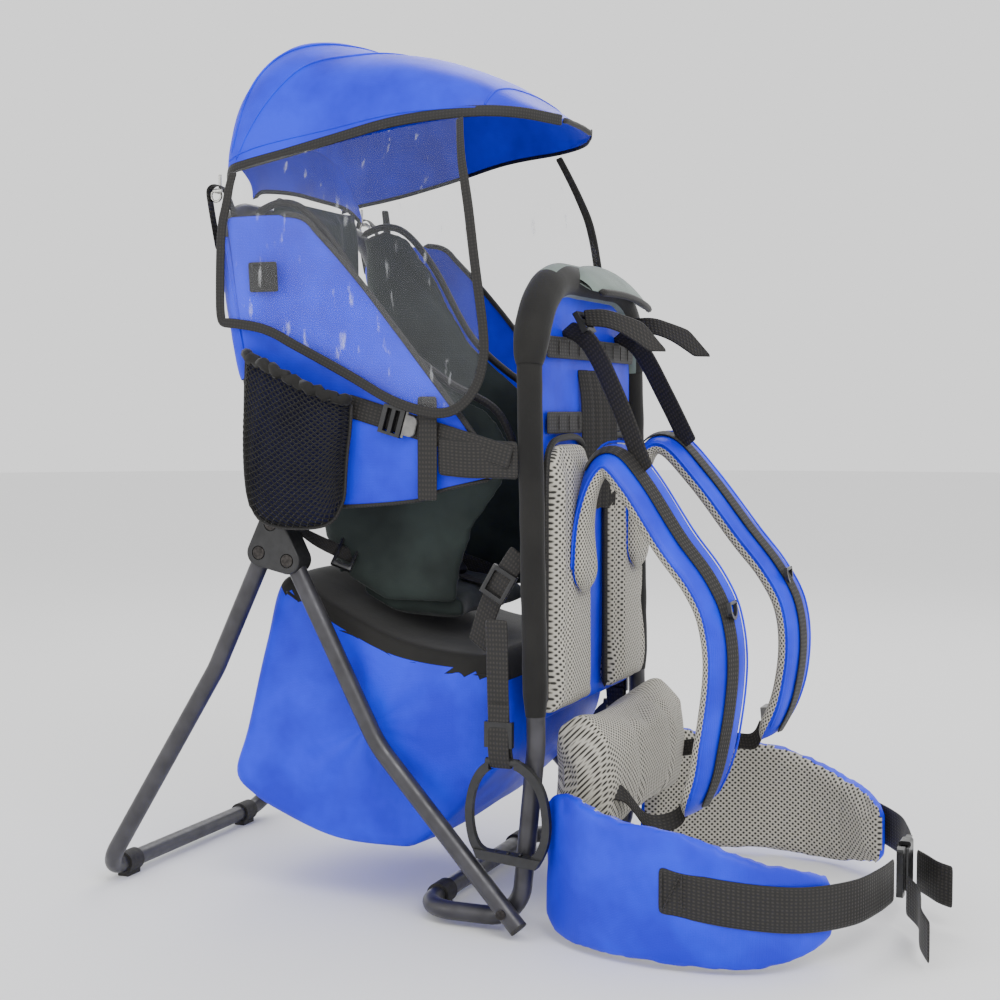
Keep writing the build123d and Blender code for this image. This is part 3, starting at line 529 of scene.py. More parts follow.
def puff(name, node, voxel_mm, cap_mm, shrink_mm=1.0):
    """Copy a packed pad, remesh it evenly and inflate it as cloth."""
    bpy.ops.object.select_all(action="DESELECT")
    mesh = nodes[node].data.copy()
    mesh.materials.clear()
    piece = bpy.data.objects.new(name, mesh)
    mesh.name = name
    bpy.context.scene.collection.objects.link(piece)
    piece.select_set(True)
    bpy.context.view_layer.objects.active = piece
    bpy.ops.object.mode_set(mode="EDIT")
    bpy.ops.mesh.select_all(action="SELECT")
    bpy.ops.mesh.remove_doubles(threshold=0.00002)
    bpy.ops.object.mode_set(mode="OBJECT")
    remesh = piece.modifiers.new("even", "REMESH")
    remesh.mode = "VOXEL"
    remesh.voxel_size = voxel_mm / 1000
    bpy.ops.object.modifier_apply(modifier="even")
    soften = piece.modifiers.new("soften", "SMOOTH")
    soften.factor = 0.5
    soften.iterations = 4
    bpy.ops.object.modifier_apply(modifier="soften")
    mesh = piece.data
    mesh.name = name
    count = len(mesh.vertices) * 3
    rest = np.empty(count)
    mesh.vertices.foreach_get("co", rest)
    normals = np.empty(count)
    mesh.vertices.foreach_get("normal", normals)
    rest = rest - normals * shrink_mm / 1000
    mesh.vertices.foreach_set("co", rest)
    mesh.update()
    cloth = piece.modifiers.new("blow", "CLOTH")
    cloth.settings.use_pressure = True
    cloth.settings.uniform_pressure_force = BLOW_PRESSURE
    cloth.settings.effector_weights.gravity = 0
    scene = bpy.context.scene
    for step in range(1, BLOW_FRAMES + 1):
        scene.frame_set(step)
    bpy.ops.object.modifier_apply(modifier="blow")
    scene.frame_set(1)
    moved = np.empty(count)
    piece.data.vertices.foreach_get("co", moved)
    step = (moved - rest).reshape(-1, 3)
    far = np.linalg.norm(step, axis=1, keepdims=True)
    step = step * np.minimum(1, cap_mm / 1000 / np.maximum(far, 1e-9))
    rest = rest + step.ravel()
    piece.data.vertices.foreach_set("co", rest)
    soft = piece.modifiers.new("soften", "SMOOTH")
    soft.factor = 0.5
    soft.iterations = 3
    bpy.ops.object.modifier_apply(modifier="soften")
    piece.data.update()
    bpy.ops.object.shade_smooth()
    return piece


def press_seams(piece, seams, width_mm=9.0, depth_mm=4.0):
    """Pull the skin in along sewn lines, each a list of drawing points."""
    lines = [smooth(s) for s in seams]
    knots = np.array([drawn(*line(t)) for line in lines for t in np.linspace(0, 1,
                                                                             max(12, int(line.length / 4)))])
    mesh = piece.data
    spots = np.empty(len(mesh.vertices) * 3)
    mesh.vertices.foreach_get("co", spots)
    ways = np.empty(len(spots))
    mesh.vertices.foreach_get("normal", ways)
    spots = spots.reshape(-1, 3)
    gap = np.min(np.linalg.norm(spots[:, None, :] - knots[None, :, :], axis=2), axis=1) * 1000
    dip = depth_mm * np.exp(-(gap / width_mm) ** 2)
    spots = spots - ways.reshape(-1, 3) * dip[:, None] / 1000
    mesh.vertices.foreach_set("co", spots.ravel())
    mesh.update()


def second_finish(piece, test):
    """Give the second finish to the faces whose middle and normal pass a test."""
    for face in piece.data.polygons:
        if test(face.center * 1000 - Vector((0, MIDDLE_Y * 1000, 0)), face.normal):
            face.material_index = 1


def lay_flat(piece, flat_at):
    """A UV map in metres from a function of a drawing point in mm."""
    layer = piece.data.uv_layers.new(name="cut")
    for loop in piece.data.loops:
        spot = piece.data.vertices[loop.vertex_index].co * 1000
        across, along = flat_at(spot.x, spot.y - MIDDLE_Y * 1000, spot.z)
        layer.data[loop.index].uv = (across / 1000, along / 1000)
    return piece


def finer(piece):
    """One live subdivision."""
    round_off = piece.modifiers.new("round", "SUBSURF")
    round_off.levels = round_off.render_levels = 1
    return piece


# %% [markdown]
# The sun canopy is one sheet of blue cloth over a wire edge: low and gathered at the back corners, high
# in the middle, and drawn down to a stiff rounded visor. Nine arches from back to front give its form.
# Each arch is a panel row, and shallow folds run down from the crown where the cloth is gathered.

# %% Canopy cloth
ARCHES = [(362, 140, 806, 872), (348, 164, 816, 930), (318, 172, 822, 975), (280, 173, 829, 984),
          (220, 169, 842, 965), (144, 160, 859, 952), (68, 148, 866, 924), (24, 112, 868, 893), (-6, 52,
                                                                                                 867, 874)]
arches = smooth(ARCHES)
ARCH_HALF = [(0, 1), (0.3, 0.97), (0.6, 0.87), (0.85, 0.66), (0.97, 0.3), (1, 0)]
arch = smooth([(-x, z) for x, z in ARCH_HALF[:0:-1]] + ARCH_HALF)


GATHER_MM = 3.2       # folds behind the crown
RIPPLE_MM = 3.0       # slow waves from back to front
BILLOW_MM = 2.2
INSET_MM = 1.5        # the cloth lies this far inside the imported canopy


def canopy_point(u, v, lift=0.0):
    """A point of the canopy; u runs from the right edge over the crown, v from back to front."""
    y, half, low, crown = arches(v)
    across, rise = arch(u)
    rear = max(0.0, 1 - v * 3.2)
    fold = GATHER_MM * rear * math.sin(u * 34 + v * 9) * (1 - abs(across) ** 4)
    sag = RIPPLE_MM * math.sin(v * 16) * (1 - rise) * 0.6 + BILLOW_MM * noise.noise(Vector((across * 2.1,
                                                                                            v * 5, 3)))
    out = fold + sag - INSET_MM + lift
    x = across * (half - INSET_MM) + across * out * 0.5
    return (x, y, low + rise * (crown - low - INSET_MM) + out * rise * 0.9)


canopy = panel("canopy_cloth", 44, 40, canopy_point, thick_mm=1.6)
dress(canopy, "canopy", "blue_cloth", blue_cloth, instead=("canopy_top",))

# %% [markdown]
# The canopy's raw edge is bound with a folded black tape, and three seams run over it: two from the
# back corner to the crown, and one that marks the visor. A seam is a low round ridge, just proud of
# the cloth, so it casts its own thin shadow.

# %% Canopy binding and seams
for name, u in (("right", 0.0), ("left", 1.0)):
    edge = [canopy_point(u, v) for v in np.linspace(0.0, 1, 30)]
    at = smooth(edge)
    tape = panel("canopy_binding_" + name, 4, 60, lambda a, b: at(b) + np.array(
        [(a - 0.5) * 3.0 + (1.2 if u else -1.2) * (1 - (2 * a - 1) ** 2), 0,
         (a - 0.5) * 13.0 + 2.0]), thick_mm=2.0)
    dress(tape, "canopy", "black_cloth", binding)
front = [canopy_point(u, 1.0) for u in np.linspace(0, 1, 24)]
piping("canopy_visor_edge", front, 3.2, body="canopy")
rear = [canopy_point(u, 0.0) for u in np.linspace(0, 1, 24)]
piping("canopy_rear_edge", rear, 2.4, body="canopy", finish=blue_cloth, slot="blue_cloth")
HEM = (0.1, 0.3, 0.5, 0.7, 0.85)
SEAMS = {"crown": [(0.05, 0.14), (0.2, 0.2), (0.35, 0.34), (0.5, 0.40), (0.65, 0.34), (0.8, 0.2),
                   (0.95, 0.14)],
         "shoulder": [(0.02, 0.17), (0.2, 0.33), (0.35, 0.46), (0.5, 0.50), (0.65, 0.46), (0.8, 0.33),
                      (0.98, 0.17)],
         "hem": [(0.035, v) for v in HEM],
         "hem_far": [(0.965, v) for v in HEM],
         "visor": [(0.03, 0.78), (0.25, 0.8), (0.5, 0.81), (0.75, 0.8), (0.97, 0.78)]}
for name, marks in SEAMS.items():
    line = smooth(marks)
    spots = [canopy_point(*line(t), lift=1.2) for t in np.linspace(0, 1, 36)]
    piping("canopy_seam_" + name, spots, 1.3, body="canopy", finish=blue_cloth, slot="blue_cloth", around=6)

# %% [markdown]
# Behind the child's head a short inner curtain closes the back of the canopy. It hangs from the rear
# arch, is cut in a low curve, and is bound in black.

# %% Rear inner curtain
def curtain_point(u, v):
    """Hangs from the rear arch to a curved hem."""
    across, rise = arch(0.06 + 0.88 * u)
    top = 812 + rise * 60
    hem = 784 + 22 * rise
    bow = 9 * math.sin(math.pi * v) + 3 * math.sin(u * 20) * v
    return (across * 138, 350 - 16 * v - bow * 0.6, top + (hem - top) * v)


curtain = panel("canopy_rear_curtain", 28, 8, curtain_point, thick_mm=1.2)
dress(curtain, "canopy", "blue_cloth", blue_cloth)
piping("curtain_hem", [curtain_point(u, 1) for u in np.linspace(0, 1, 16)], 2.6, body="canopy")

# %% [markdown]
# Each clear curtain hangs from the canopy, outside the seat's side. Its outline is four edges: the
# front that drops to a rounded lower corner, the long rising lower edge, the short rear and the top. A
# point inside is blended from the four edges, which is how a patch of film takes its curve. The binding
# lies wholly inside the edge, so that the cam buckle's lever can lift past it.

# %% Blending a patch from four edges
def patch(left, right, bottom, top):
    """A Coons patch: a function of (u, v) from four lines of 2-D points."""
    left, right, bottom, top = (smooth(line) for line in (left, right, bottom, top))

    def at(u, v):
        ruled = (1 - v) * bottom(u) + v * top(u) + (1 - u) * left(v) + u * right(v)
        corners = ((1 - u) * (1 - v) * bottom(0) + u * (1 - v) * bottom(1)
                   + (1 - u) * v * top(0) + u * v * top(1))
        return ruled - corners

    return at


CURTAIN_FRONT = [(24, 584), (19, 606), (20, 640), (29, 706), (40, 776), (55, 824), (68, 862)]
CURTAIN_LOWER = [(24, 584), (36, 562), (56, 546), (83, 543), (130, 556), (184, 584), (248, 617), (284, 634),
                 (338, 643)]
CURTAIN_REAR = [(338, 643), (343, 664), (340, 746), (334, 776), (331, 812)]
CURTAIN_TOP = [(68, 862), (144, 853), (220, 838), (280, 826), (331, 812)]
curtain_at = patch(CURTAIN_FRONT, CURTAIN_REAR, CURTAIN_LOWER, CURTAIN_TOP)
FILM_X = smooth([(150, 866), (178, 830), (198, 792), (203, 740), (203, 640), (203, 530)])
film_z = np.array([FILM_X(t) for t in np.linspace(0, 1, 60)])


def film_depth(y, z):
    """How far out the film hangs at a height, with a slow billow."""
    x = float(np.interp(-z, -film_z[:, 1], film_z[:, 0]))
    return x + 1.6 * math.sin(y * 0.03 + z * 0.02) - 0.6


for name, side in SIDES.items():
    def film_point(u, v, side=side):
        y, z = curtain_at(u, v)
        return (side * film_depth(y, z), y, z)

    film = panel("clear_curtain_" + name, 22, 26, film_point, thick_mm=0.5)
    dress(film, "canopy", "clear_vinyl", clear_film, instead=("canopy_window_" + name,))
    rim = [film_point(0, v) for v in np.linspace(1, 0, 12)] + [film_point(u, 0) for u in np.linspace(0.05,
                                                                                                     1, 20)]
    rim += [film_point(1, v) for v in np.linspace(0.08, 1, 10)]
    at = smooth(rim)

    def rim_tape(a, b, at=at, side=side):
        way = heading(at, b)
        inward = np.array((0, -way[2], way[1]))
        return at(b) + inward * a * 11 + np.array([side * 0.9, 0, 0])

    tape = panel("curtain_binding_" + name, 4, 110, rim_tape, thick_mm=2.6)
    dress(tape, "canopy", "black_cloth", binding)

# %% [markdown]
# The seat's outer side is a blue cloth panel from the rear hoop to the back frame. Its front edge
# sweeps down from the hoop, and its lower edge is nearly level. It bows outward a little between its
# fixings, and the foam behind it makes it smooth.

# %% Seat side panels
SIDE_LOW = [(22, 480), (82, 466), (105, 456), (188, 448), (282, 446)]
SIDE_REAR = [(282, 446), (297, 530), (309, 600), (322, 690), (331, 762)]
SIDE_UP = [(24, 500), (80, 574), (165, 680), (220, 740), (251, 763), (331, 764)]
side_at = patch([(22, 480), (22, 490), (24, 500)], SIDE_REAR, SIDE_LOW, SIDE_UP)
SIDE_X = smooth([(18, 184), (90, 189), (190, 190), (262, 188), (306, 196), (332, 199.5)])
side_x = np.array([SIDE_X(t) for t in np.linspace(0, 1, 60)])
for name, side in SIDES.items():
    def side_point(u, v, side=side):
        y, z = side_at(u, v)
        out = float(np.interp(y, side_x[:, 0], side_x[:, 1]))
        bow = 2.0 * math.sin(math.pi * u) * math.sin(math.pi * v) + 1.2 * noise.noise(Vector((y / 60,
                                                                                              z / 60, side)))
        return (side * (out + bow), y, z)

    side_panel = panel("seat_side_cloth_" + name, 34, 26, side_point, thick_mm=1.6)
    dress(side_panel, "frame", "blue_cloth", blue_cloth, instead=("seat_side_" + name,))
    piping("seat_side_edge_" + name, [side_point(u, 1) for u in np.linspace(0, 0.86, 30)], 3.4)
    piping("seat_side_hem_" + name, [side_point(u, 0) for u in np.linspace(0, 1, 24)], 2.2)

# %% [markdown]
# The legs of the rear hoop run in blue sleeves sewn to the side panel. A sleeve is a loose tube of
# cloth, a little wrinkled, and drawn in at its ends.

# %% Hoop sleeves
for name, side in SIDES.items():
    leg = smooth([(side * 184, 308, 582), (side * 184, 344, 775)], steps=1)
    run = smooth([leg(t) for t in np.linspace(0.02, 0.82, 6)], steps=4)

    def loose(u, v, side=side):
        ends = 1.9 * max(0, 1 - min(v, 1 - v) * 18)
        return 13.8 - ends + 1.1 * noise.noise(Vector((u * 5, v * 9, side * 2)))

    sleeve = cover("hoop_sleeve_" + name, run, loose, 26, 18, thick_mm=0.8)
    dress(sleeve, "frame", "blue_cloth", blue_cloth, instead=once(side, "hoop_sleeves"))
    seam = [(side * 198.6, run(t)[1] - 3, run(t)[2]) for t in np.linspace(0, 1, 8)]
    piping("hoop_sleeve_seam_" + name, seam, 0.8, finish=blue_cloth, slot="blue_cloth", around=6)

# %% [markdown]
# The canopy's wire turns in a metal eyelet at the top of each sleeve. A short loop of webbing holds the
# eyelet, and is sewn down on both faces of the sleeve.

# %% Canopy eyelets
for name, side in SIDES.items():
    x = side * 184
    strap("eyelet_loop_" + name, [(x, 322, 728), (x, 330, 768), (x, 344, 797), (x, 360, 797), (x, 359, 778),
                                  (x, 349.5, 728)],
          13, steps=26, thick_mm=1.4)
    turns = np.linspace(0, 2 * math.pi, 24)[:-1]
    ring = [(x, 352 + 6.4 * math.cos(turn), 788 + 6.4 * math.sin(turn)) for turn in turns]
    piping("eyelet_ring_" + name, ring, 1.5, closed=True, finish=plated_wire, slot="steel", pitch=2.0)

# %% [markdown]
# A square of black cloth is sewn on each sleeve where the canopy's elastic loops through, with a line
# of stitching from corner to corner.

# %% Reinforcing squares
for name, side in SIDES.items():
    def square(u, v, side=side):
        y = 266 + 36 * u + 2 * v
        return (side * (199.2 + 1.4 * math.sin(math.pi * u)), y, 679 + 33 * v)

    badge = panel("sewn_square_" + name, 8, 8, square, thick_mm=1.4)
    dress(badge, "frame", "black_cloth", black_cloth)
    for k, (a, b) in enumerate((((0.12, 0.1), (0.9, 0.9)), ((0.1, 0.1), (0.9, 0.1)),
                                ((0.1, 0.9), (0.9, 0.9)))):
        line = [np.array(square(a[0] + (b[0] - a[0]) * t, a[1] + (b[1] - a[1]) * t)) + (side * 1.0, 0, 0)
                for t in np.linspace(0, 1, 8)]
        piping(f"square_stitch_{name}_{k}", line, 0.5, around=6, finish=webbing, slot="webbing")

# %% [markdown]
# The mesh pocket is a net pouch for a bottle. Net is best made as real threads: a fine grid turned on
# its corner is bent to the pouch, and the Wireframe modifier keeps only the threads. Its top is
# gathered by elastic in a rolled black hem, and its edges are bound.

# %% Mesh pockets
POUCH_TOP = [(178, 560), (196, 566), (230, 580), (268, 598), (305, 612)]
POUCH_LOW = [(187, 458), (200, 434), (224, 425), (268, 425), (294, 436), (305, 466)]
pouch_at = patch([(187, 458), (184, 500), (180, 530), (178, 560)],
                 [(305, 466), (307, 520), (307, 560), (305, 612)],
                 POUCH_LOW, POUCH_TOP)
for name, side in SIDES.items():
    def pouch_point(u, v, side=side):
        y, z = pouch_at(u, v)
        belly = (math.sin(math.pi * min(1, max(0, u))) ** 0.45) * (1 - (1 - v) ** 6) ** 0.5
        gather = 1.5 * math.sin(u * 44) * v ** 3
        return (side * (201 + 29 * belly * (1 - 0.25 * v ** 4) + gather), y, z)

    # Painted shade: a dark sheet bulges behind the net, where the pocket's inside is in shade.
    def pocket_shade_back(u, v, side=side):
        y, z = pouch_at(u, v)
        bulge = 13 * math.sin(math.pi * min(1, max(0, u))) ** 0.6 * (1 - (1 - v) ** 4) ** 0.5
        return (side * (199.5 + bulge + 1.5 * math.sin(u * 37 + v * 5)), y, z - 1)

    pocket_shade_sheet = panel("pocket_lining_" + name, 20, 20, pocket_shade_back, thick_mm=1.0)
    dress(pocket_shade_sheet, "frame", "lining", pocket_shade_cloth)
    net = panel("pocket_net_" + name, 18, 24, pouch_point, levels=0)
    bpy.ops.object.mode_set(mode="EDIT")
    bpy.ops.mesh.select_all(action="SELECT")
    bpy.ops.mesh.poke()
    bpy.ops.mesh.tris_convert_to_quads(face_threshold=math.pi, shape_threshold=math.pi)
    bpy.ops.object.mode_set(mode="OBJECT")
    threads = net.modifiers.new("threads", "WIREFRAME")
    threads.thickness = 0.0021
    threads.use_even_offset = False
    bpy.ops.object.modifier_apply(modifier="threads")
    dress(net, "frame", "black_cloth", black_cloth, instead=("mesh_pocket_" + name,))
    hem = [np.array(pouch_point(u, 1)) + (0, 0, 2 * math.sin(u * 60)) for u in np.linspace(0, 1, 50)]
    piping("pocket_rim_" + name, hem, 6.5, finish=black_cloth, pitch=5)
    edge = [pouch_point(0, v) for v in np.linspace(1, 0.02, 10)]
    edge += [pouch_point(u, 0) for u in np.linspace(0, 1, 14)]
    edge += [pouch_point(1, v) for v in np.linspace(0.02, 1, 12)]
    piping("pocket_edge_" + name, edge, 2.4)

# %% [markdown]
# The storage bag hangs between the side tubes. It is sewn from a long strip that goes round bottom,
# rear and top, and two shaped ends. Full of soft things it bellies out at
# the ends and sags at the bottom, so the ends are crowned and the strip bows between the seams.

# %% Storage bag
BAG_LOOP = [(284, 366), (310, 292), (336, 190), (352, 138), (330, 116), (302, 101), (227, 75), (148, 72),
            (124, 77),
            (82, 111), (46, 150), (20, 184), (12, 244), (30, 292), (52, 289), (141, 300), (224, 335)]
bag_loop = smooth(BAG_LOOP, closed=True)
BAG_MIDDLE = np.array((178.0, 205.0))
BAG_HALF = 157


def bag_point(u, v):
    """Round the loop by u; v goes from the middle of one end, over the strip, to the other."""
    edge = bag_loop(u)
    side = -1 if v < 0.5 else 1
    inward = max(0.0, (abs(v - 0.5) - 0.25) / 0.25)
    crease = 2.6 * noise.noise(Vector((edge[0] / 46, edge[1] / 38, v * 7)))
    if inward > 0:
        spot = edge + (BAG_MIDDLE - edge) * inward
        dome = 11 * (1 - (1 - min(1, inward * 1.25)) ** 2)
        ripple = 1.6 * math.sin(edge[0] / 17 + edge[1] / 31) * math.sin(math.pi * inward)
        return (side * (BAG_HALF + dome + ripple * 0.6 + crease * 0.4 * math.sin(math.pi * inward)), *spot)
    across = (v - 0.5) / 0.25
    bow = 5 * (1 - across ** 2) + crease * (1 - across ** 4)
    out = edge - BAG_MIDDLE
    out = out / np.linalg.norm(out)
    spot = edge + out * bow * (0.3 if edge[1] > 280 and edge[0] < 270 else 1.0)
    return (across * BAG_HALF, *spot)


bag = panel("storage_bag_cloth", 84, 48, bag_point, wrap=True)
dress(bag, "frame", "blue_cloth", blue_cloth, black_cloth, instead=("storage_bag", "bag_lid"))


def lid_line(y):
    """Height above which the bag is black cloth, at a distance back."""
    return float(np.interp(y, [20, 52, 141, 224, 284], [268, 268, 279, 314, 350]))


second_finish(bag, lambda spot, normal: spot.z > lid_line(spot.y) and spot.y < 290)
for name, side in SIDES.items():
    gather = [(side * (BAG_HALF + 2), y, lid_line(y) + 1.2 * math.sin(y / 6)) for y in np.linspace(16, 282,
                                                                                                   66)]
    piping("bag_gathered_band_" + name, gather, 2.2, finish=black_cloth, pitch=4)

# %% [markdown]
# A zip crosses the rear of the bag. Its tape is a strip of black cloth, and its coil is a fine cord
# with a rib at every tooth, drawn at 3 mm so that it can be seen.

# %% Zip tape and coil
ZIP_Y, ZIP_Z = 312, 288
for row, (dz, wide) in enumerate(((9, 12), (-9, 12))):
    run = [(x, ZIP_Y + 2.5 - dz * 0.3 + 3 * (1 - (x / 140) ** 2), ZIP_Z + dz) for x in np.linspace(-128,
                                                                                                   128, 12)]
    strap(f"zip_tape_{row}", run, wide, side=(0, -0.28, 0.96), steps=30, thick_mm=0.8, finish=black_cloth,
          slot="black_cloth")
coil_at = smooth([(x, ZIP_Y + 3 + 3 * (1 - (x / 140) ** 2), ZIP_Z) for x in np.linspace(-122, 122, 12)])
COIL_ROWS = 160


def tooth(u, v):
    """Coil radius, larger at every second row."""
    return 1.5 + 0.7 * (round(v * COIL_ROWS) % 2)


coil = cover("zip_coil", coil_at, tooth, COIL_ROWS, 8, first=(0, 0, 1), levels=0)
dress(coil, "frame", "black_cloth", acetal)

# %% [markdown]
# Inside, the child sits between two padded side walls, against a tall padded back and on a small
# cushion, all in dark lining. These are true cushions, so the simulation makes them, and their sewn
# channels are pressed in after.

# %% Child's seat pads
for name, side in SIDES.items():
    wall = puff("seat_wall_pad_" + name, "seat_liner_" + name, 5.0, 5.0)
    press_seams(wall, [[(side * 112, 60, 540), (side * 112, 130, 600), (side * 114, 200, 670),
                        (side * 118, 280, 740)],
                       [(side * 108, 110, 400), (side * 110, 180, 430), (side * 112, 260, 500)]], 8, 3)
    dress(finer(wall), "frame", "lining", lining, instead=("seat_liner_" + name,))
back_rest = puff("seat_back_cushion", "seat_back_pad", 5.0, 7.0)
press_seams(back_rest, [[(x, y, z) for y, z in ((312, 780), (309, 700), (293, 585),
                                                (259, 455))] for x in (-45, 45)], 8, 4)
dress(finer(back_rest), "frame", "lining", lining, instead=("seat_back_pad",))
base = puff("seat_base_cushion", "seat_cushion", 4.5, 6.0)
dress(finer(base), "frame", "lining", lining, instead=("seat_cushion",))

# %% [markdown]
# The top edges of the side walls are bound in black, like every raw edge on the seat.

# %% Seat bindings
WALL_TOP = [(332, 772), (300, 782), (268, 772), (228, 727), (172, 638), (105, 583), (48, 552), (24, 512)]
for name, side in SIDES.items():
    wall_x = smooth([(108, 318), (116, 560), (134, 790)])
    wall_xs = np.array([wall_x(t) for t in np.linspace(0, 1, 30)])
    rim = [(side * (float(np.interp(z, wall_xs[:, 1], wall_xs[:, 0])) + 1), y, z + 1) for y, z in WALL_TOP]
    piping("seat_wall_binding_" + name, rim, 4.5)

# %% [markdown]
# A five-point harness holds the child: two padded shoulder straps down the back rest and one strap
# between the legs, joined in a buckle with a round push button. Webbing also ties the seat's
# front to the frame on each side, through a rectangular slide.

# %% Child's harness
for name, side in SIDES.items():
    x = side * 50
    strap("harness_strap_" + name, [(x, 297, 672), (x, 281, 590), (x, 247, 510), (x, 203, 440),
                                    (x * 0.8, 174, 402)],
          30, thick_mm=4.0, finish=black_cloth, slot="lining", instead=once(side, "child_straps"), crown=2)
    strap("harness_web_" + name, [(x, 294, 668), (x, 277, 590), (x, 243, 510), (x, 199, 440),
                                  (x * 0.8, 170, 400)],
          20, crown=1)
strap("crotch_strap", [(-2, 100, 349), (-3, 112, 352), (-4, 124, 355), (-5, 134, 360)], 28, steps=12)
tie_paths = {"right": [(-168, 268, 425), (-140, 252, 405), (-100, 190, 372), (-92, 128, 352)],
             "left": [(168, 268, 425), (140, 252, 405), (100, 190, 372), (92, 128, 352)]}
for name, path in tie_paths.items():
    strap("seat_tie_" + name, path, 30, side=(0.25 if name == "left" else -0.25, 0.5, 0.8), steps=24)


# %% [markdown]
# Buckles that slide on webbing are rectangular frames with bars across. One is modelled as by hand: a
# block is inset and pushed through to leave the frame, and every edge is bevelled. Copies of it are
# turned to each strap, and their place is baked into the mesh.

# %% Ladder buckles
def ladder(name, centre, size, turn, finish=None, slot="acetal", bars=1):
    """A frame buckle; size is (width, height, depth) in mm, turn is a rotation matrix."""
    bpy.ops.object.select_all(action="DESELECT")
    rows = 2 * bars + 3
    bpy.ops.mesh.primitive_grid_add(x_subdivisions=3, y_subdivisions=rows, size=1)
    piece = bpy.context.object
    piece.name = piece.data.name = name
    mesh = piece.data
    rim_x, rim_y = 0.16, 0.15
    slots = 2 * bars + 1
    inner = [rim_y + (1 - 2 * rim_y) * k / slots for k in range(1, slots)]
    lines = [0.0, rim_y, *inner, 1 - rim_y, 1.0]
    for vertex in mesh.vertices:
        col = round((vertex.co.x + 0.5) * 3)
        row = round((vertex.co.y + 0.5) * rows)
        vertex.co.x = (0.0, rim_x, 1 - rim_x, 1.0)[col] - 0.5
        vertex.co.y = lines[min(row, len(lines) - 1)] - 0.5
    bpy.ops.object.mode_set(mode="EDIT")
    bpy.ops.mesh.select_all(action="DESELECT")
    bpy.ops.object.mode_set(mode="OBJECT")
    for face in mesh.polygons:
        row = sum(face.center.y + 0.5 > edge for edge in lines) - 1
        if abs(face.center.x) < 0.5 - rim_x and 0 < row < len(lines) - 2 and row % 2 == 1:
            face.select = True
    bpy.ops.object.mode_set(mode="EDIT")
    bpy.ops.mesh.delete(type="FACE")
    bpy.ops.mesh.select_all(action="SELECT")
    bpy.ops.mesh.remove_doubles(threshold=0.0001)
    bpy.ops.mesh.extrude_region_move(TRANSFORM_OT_translate={"value": (0, 0, 1)})
    bpy.ops.mesh.select_all(action="SELECT")
    bpy.ops.mesh.normals_make_consistent(inside=False)
    bpy.ops.object.mode_set(mode="OBJECT")
    mesh.transform(Matrix.Translation((0, 0, -0.5)))
    mesh.transform(Matrix.Diagonal((size[0] / 1000, size[1] / 1000, size[2] / 1000, 1)))
    edge = piece.modifiers.new("edge", "BEVEL")
    edge.width = 0.0008
    edge.segments = 2
    edge.limit_method = "ANGLE"
    bpy.ops.object.modifier_apply(modifier="edge")
    piece.data.transform(Matrix.Translation(drawn(*centre)) @ turn.to_4x4())
    bpy.ops.object.shade_smooth_by_angle(angle=math.radians(40))
    return dress(piece, "frame", slot, finish or acetal)


def facing(normal, along):
    """A rotation whose z faces normal and whose y goes along."""
    z = Vector(normal).normalized()
    y = Vector(along)
    y = (y - z * y.dot(z)).normalized()
    x = y.cross(z)
    return Matrix(((x[0], y[0], z[0]), (x[1], y[1], z[1]), (x[2], y[2], z[2])))


for name, side in SIDES.items():
    ladder("tie_slide_" + name, (side * 122, 224, 391), (40, 24, 6),
           facing((side * 0.75, -0.45, 0.5), (side * 0.35, 0.75, 0.4)))

# %% [markdown]
# On the outside of each seat panel a strap runs from the pocket to the back frame through a cam
# buckle, an upright strap crosses behind it, and a wider one closes the panel at the front.

# %% Side straps
for name, side in SIDES.items():
    x = side * 193.6
    strap("side_strap_" + name, [(x, 188, 557), (x, 130, 540), (x, 60, 520), (x, -2, 502)], 25,
          side=(0, -0.26, 0.966),
          instead=once(side, "side_straps"))
    x = side * 197.8
    strap("rise_strap_" + name, [(x, 91, 566), (x, 91, 530), (x, 91, 490), (x, 91, 456)], 23,
          side=(0, 1, 0), steps=16,
          instead=once(side, "rise_straps"))
    x = side * 195.4
    strap("front_strap_" + name, [(x, 80, 503), (x - side, 48, 500), (x - side * 3, 16, 500),
                                  (x - side * 6, -8, 499)], 40,
          side=(0, 0.02, 1), steps=16, thick_mm=2.2)

# %% [markdown]
# Under the seat a short ladder strap ties the seat's front to the bag's corner, and the bag hangs from
# it. It comes off the back frame's sleeve and crosses a plastic ladder buckle half way down.

# %% Bag suspension straps
for name, side in SIDES.items():
    path = both_sides([(168, -2, 402), (168, 18, 372), (164, 36, 340), (160, 50, 300)], side)
    strap("bag_hanger_" + name, path, 25, side=(0.0, 0.8, 0.6), steps=20)
    ladder("hanger_buckle_" + name, (side * 168.5, 22, 368), (30, 34, 7),
           facing((side, 0, 0), (0, -0.5, 0.86)), bars=2)

# %% [markdown]
# Each foot ring hangs from a strap that comes off the frame's sleeve, outside the upright. The strap
# passes through the slider and is sewn back on itself, so it is doubled at the bottom.

# %% Stirrup straps
for name, side in SIDES.items():
    x = side * 195.3
    strap("stirrup_strap_" + name, [(x, 14, 334), (x, 13, 300), (x, 12, 250), (x, 10, 204)], 25,
          side=(0, 1, 0), steps=24,
          instead=once(side, "stirrup_straps"))
    strap("stirrup_fold_" + name, [(x + side * 2.4, 10, 246), (x + side * 5.6, 10, 214),
                                   (x + side * 6.0, 9, 192),
                                   (x + side * 1.5, 8, 178), (x - side * 4, 8, 186), (x - side * 2.5, 10,
                                                                                      204)],
          24, side=(0, 1, 0), steps=26)
    for k in range(5):
        rib = [(side * 191.2, -28 + 14 * k, 89), (side * 196, -28 + 14 * k, 90),
               (side * 201.4, -28 + 14 * k, 89)]
        piping(f"stirrup_tread_rib_{name}_{k}", rib, 1.6, body="stirrup_" + name, finish=nylon,
               slot="acetal", around=6,
               pitch=2, first=(0, 1, 0))

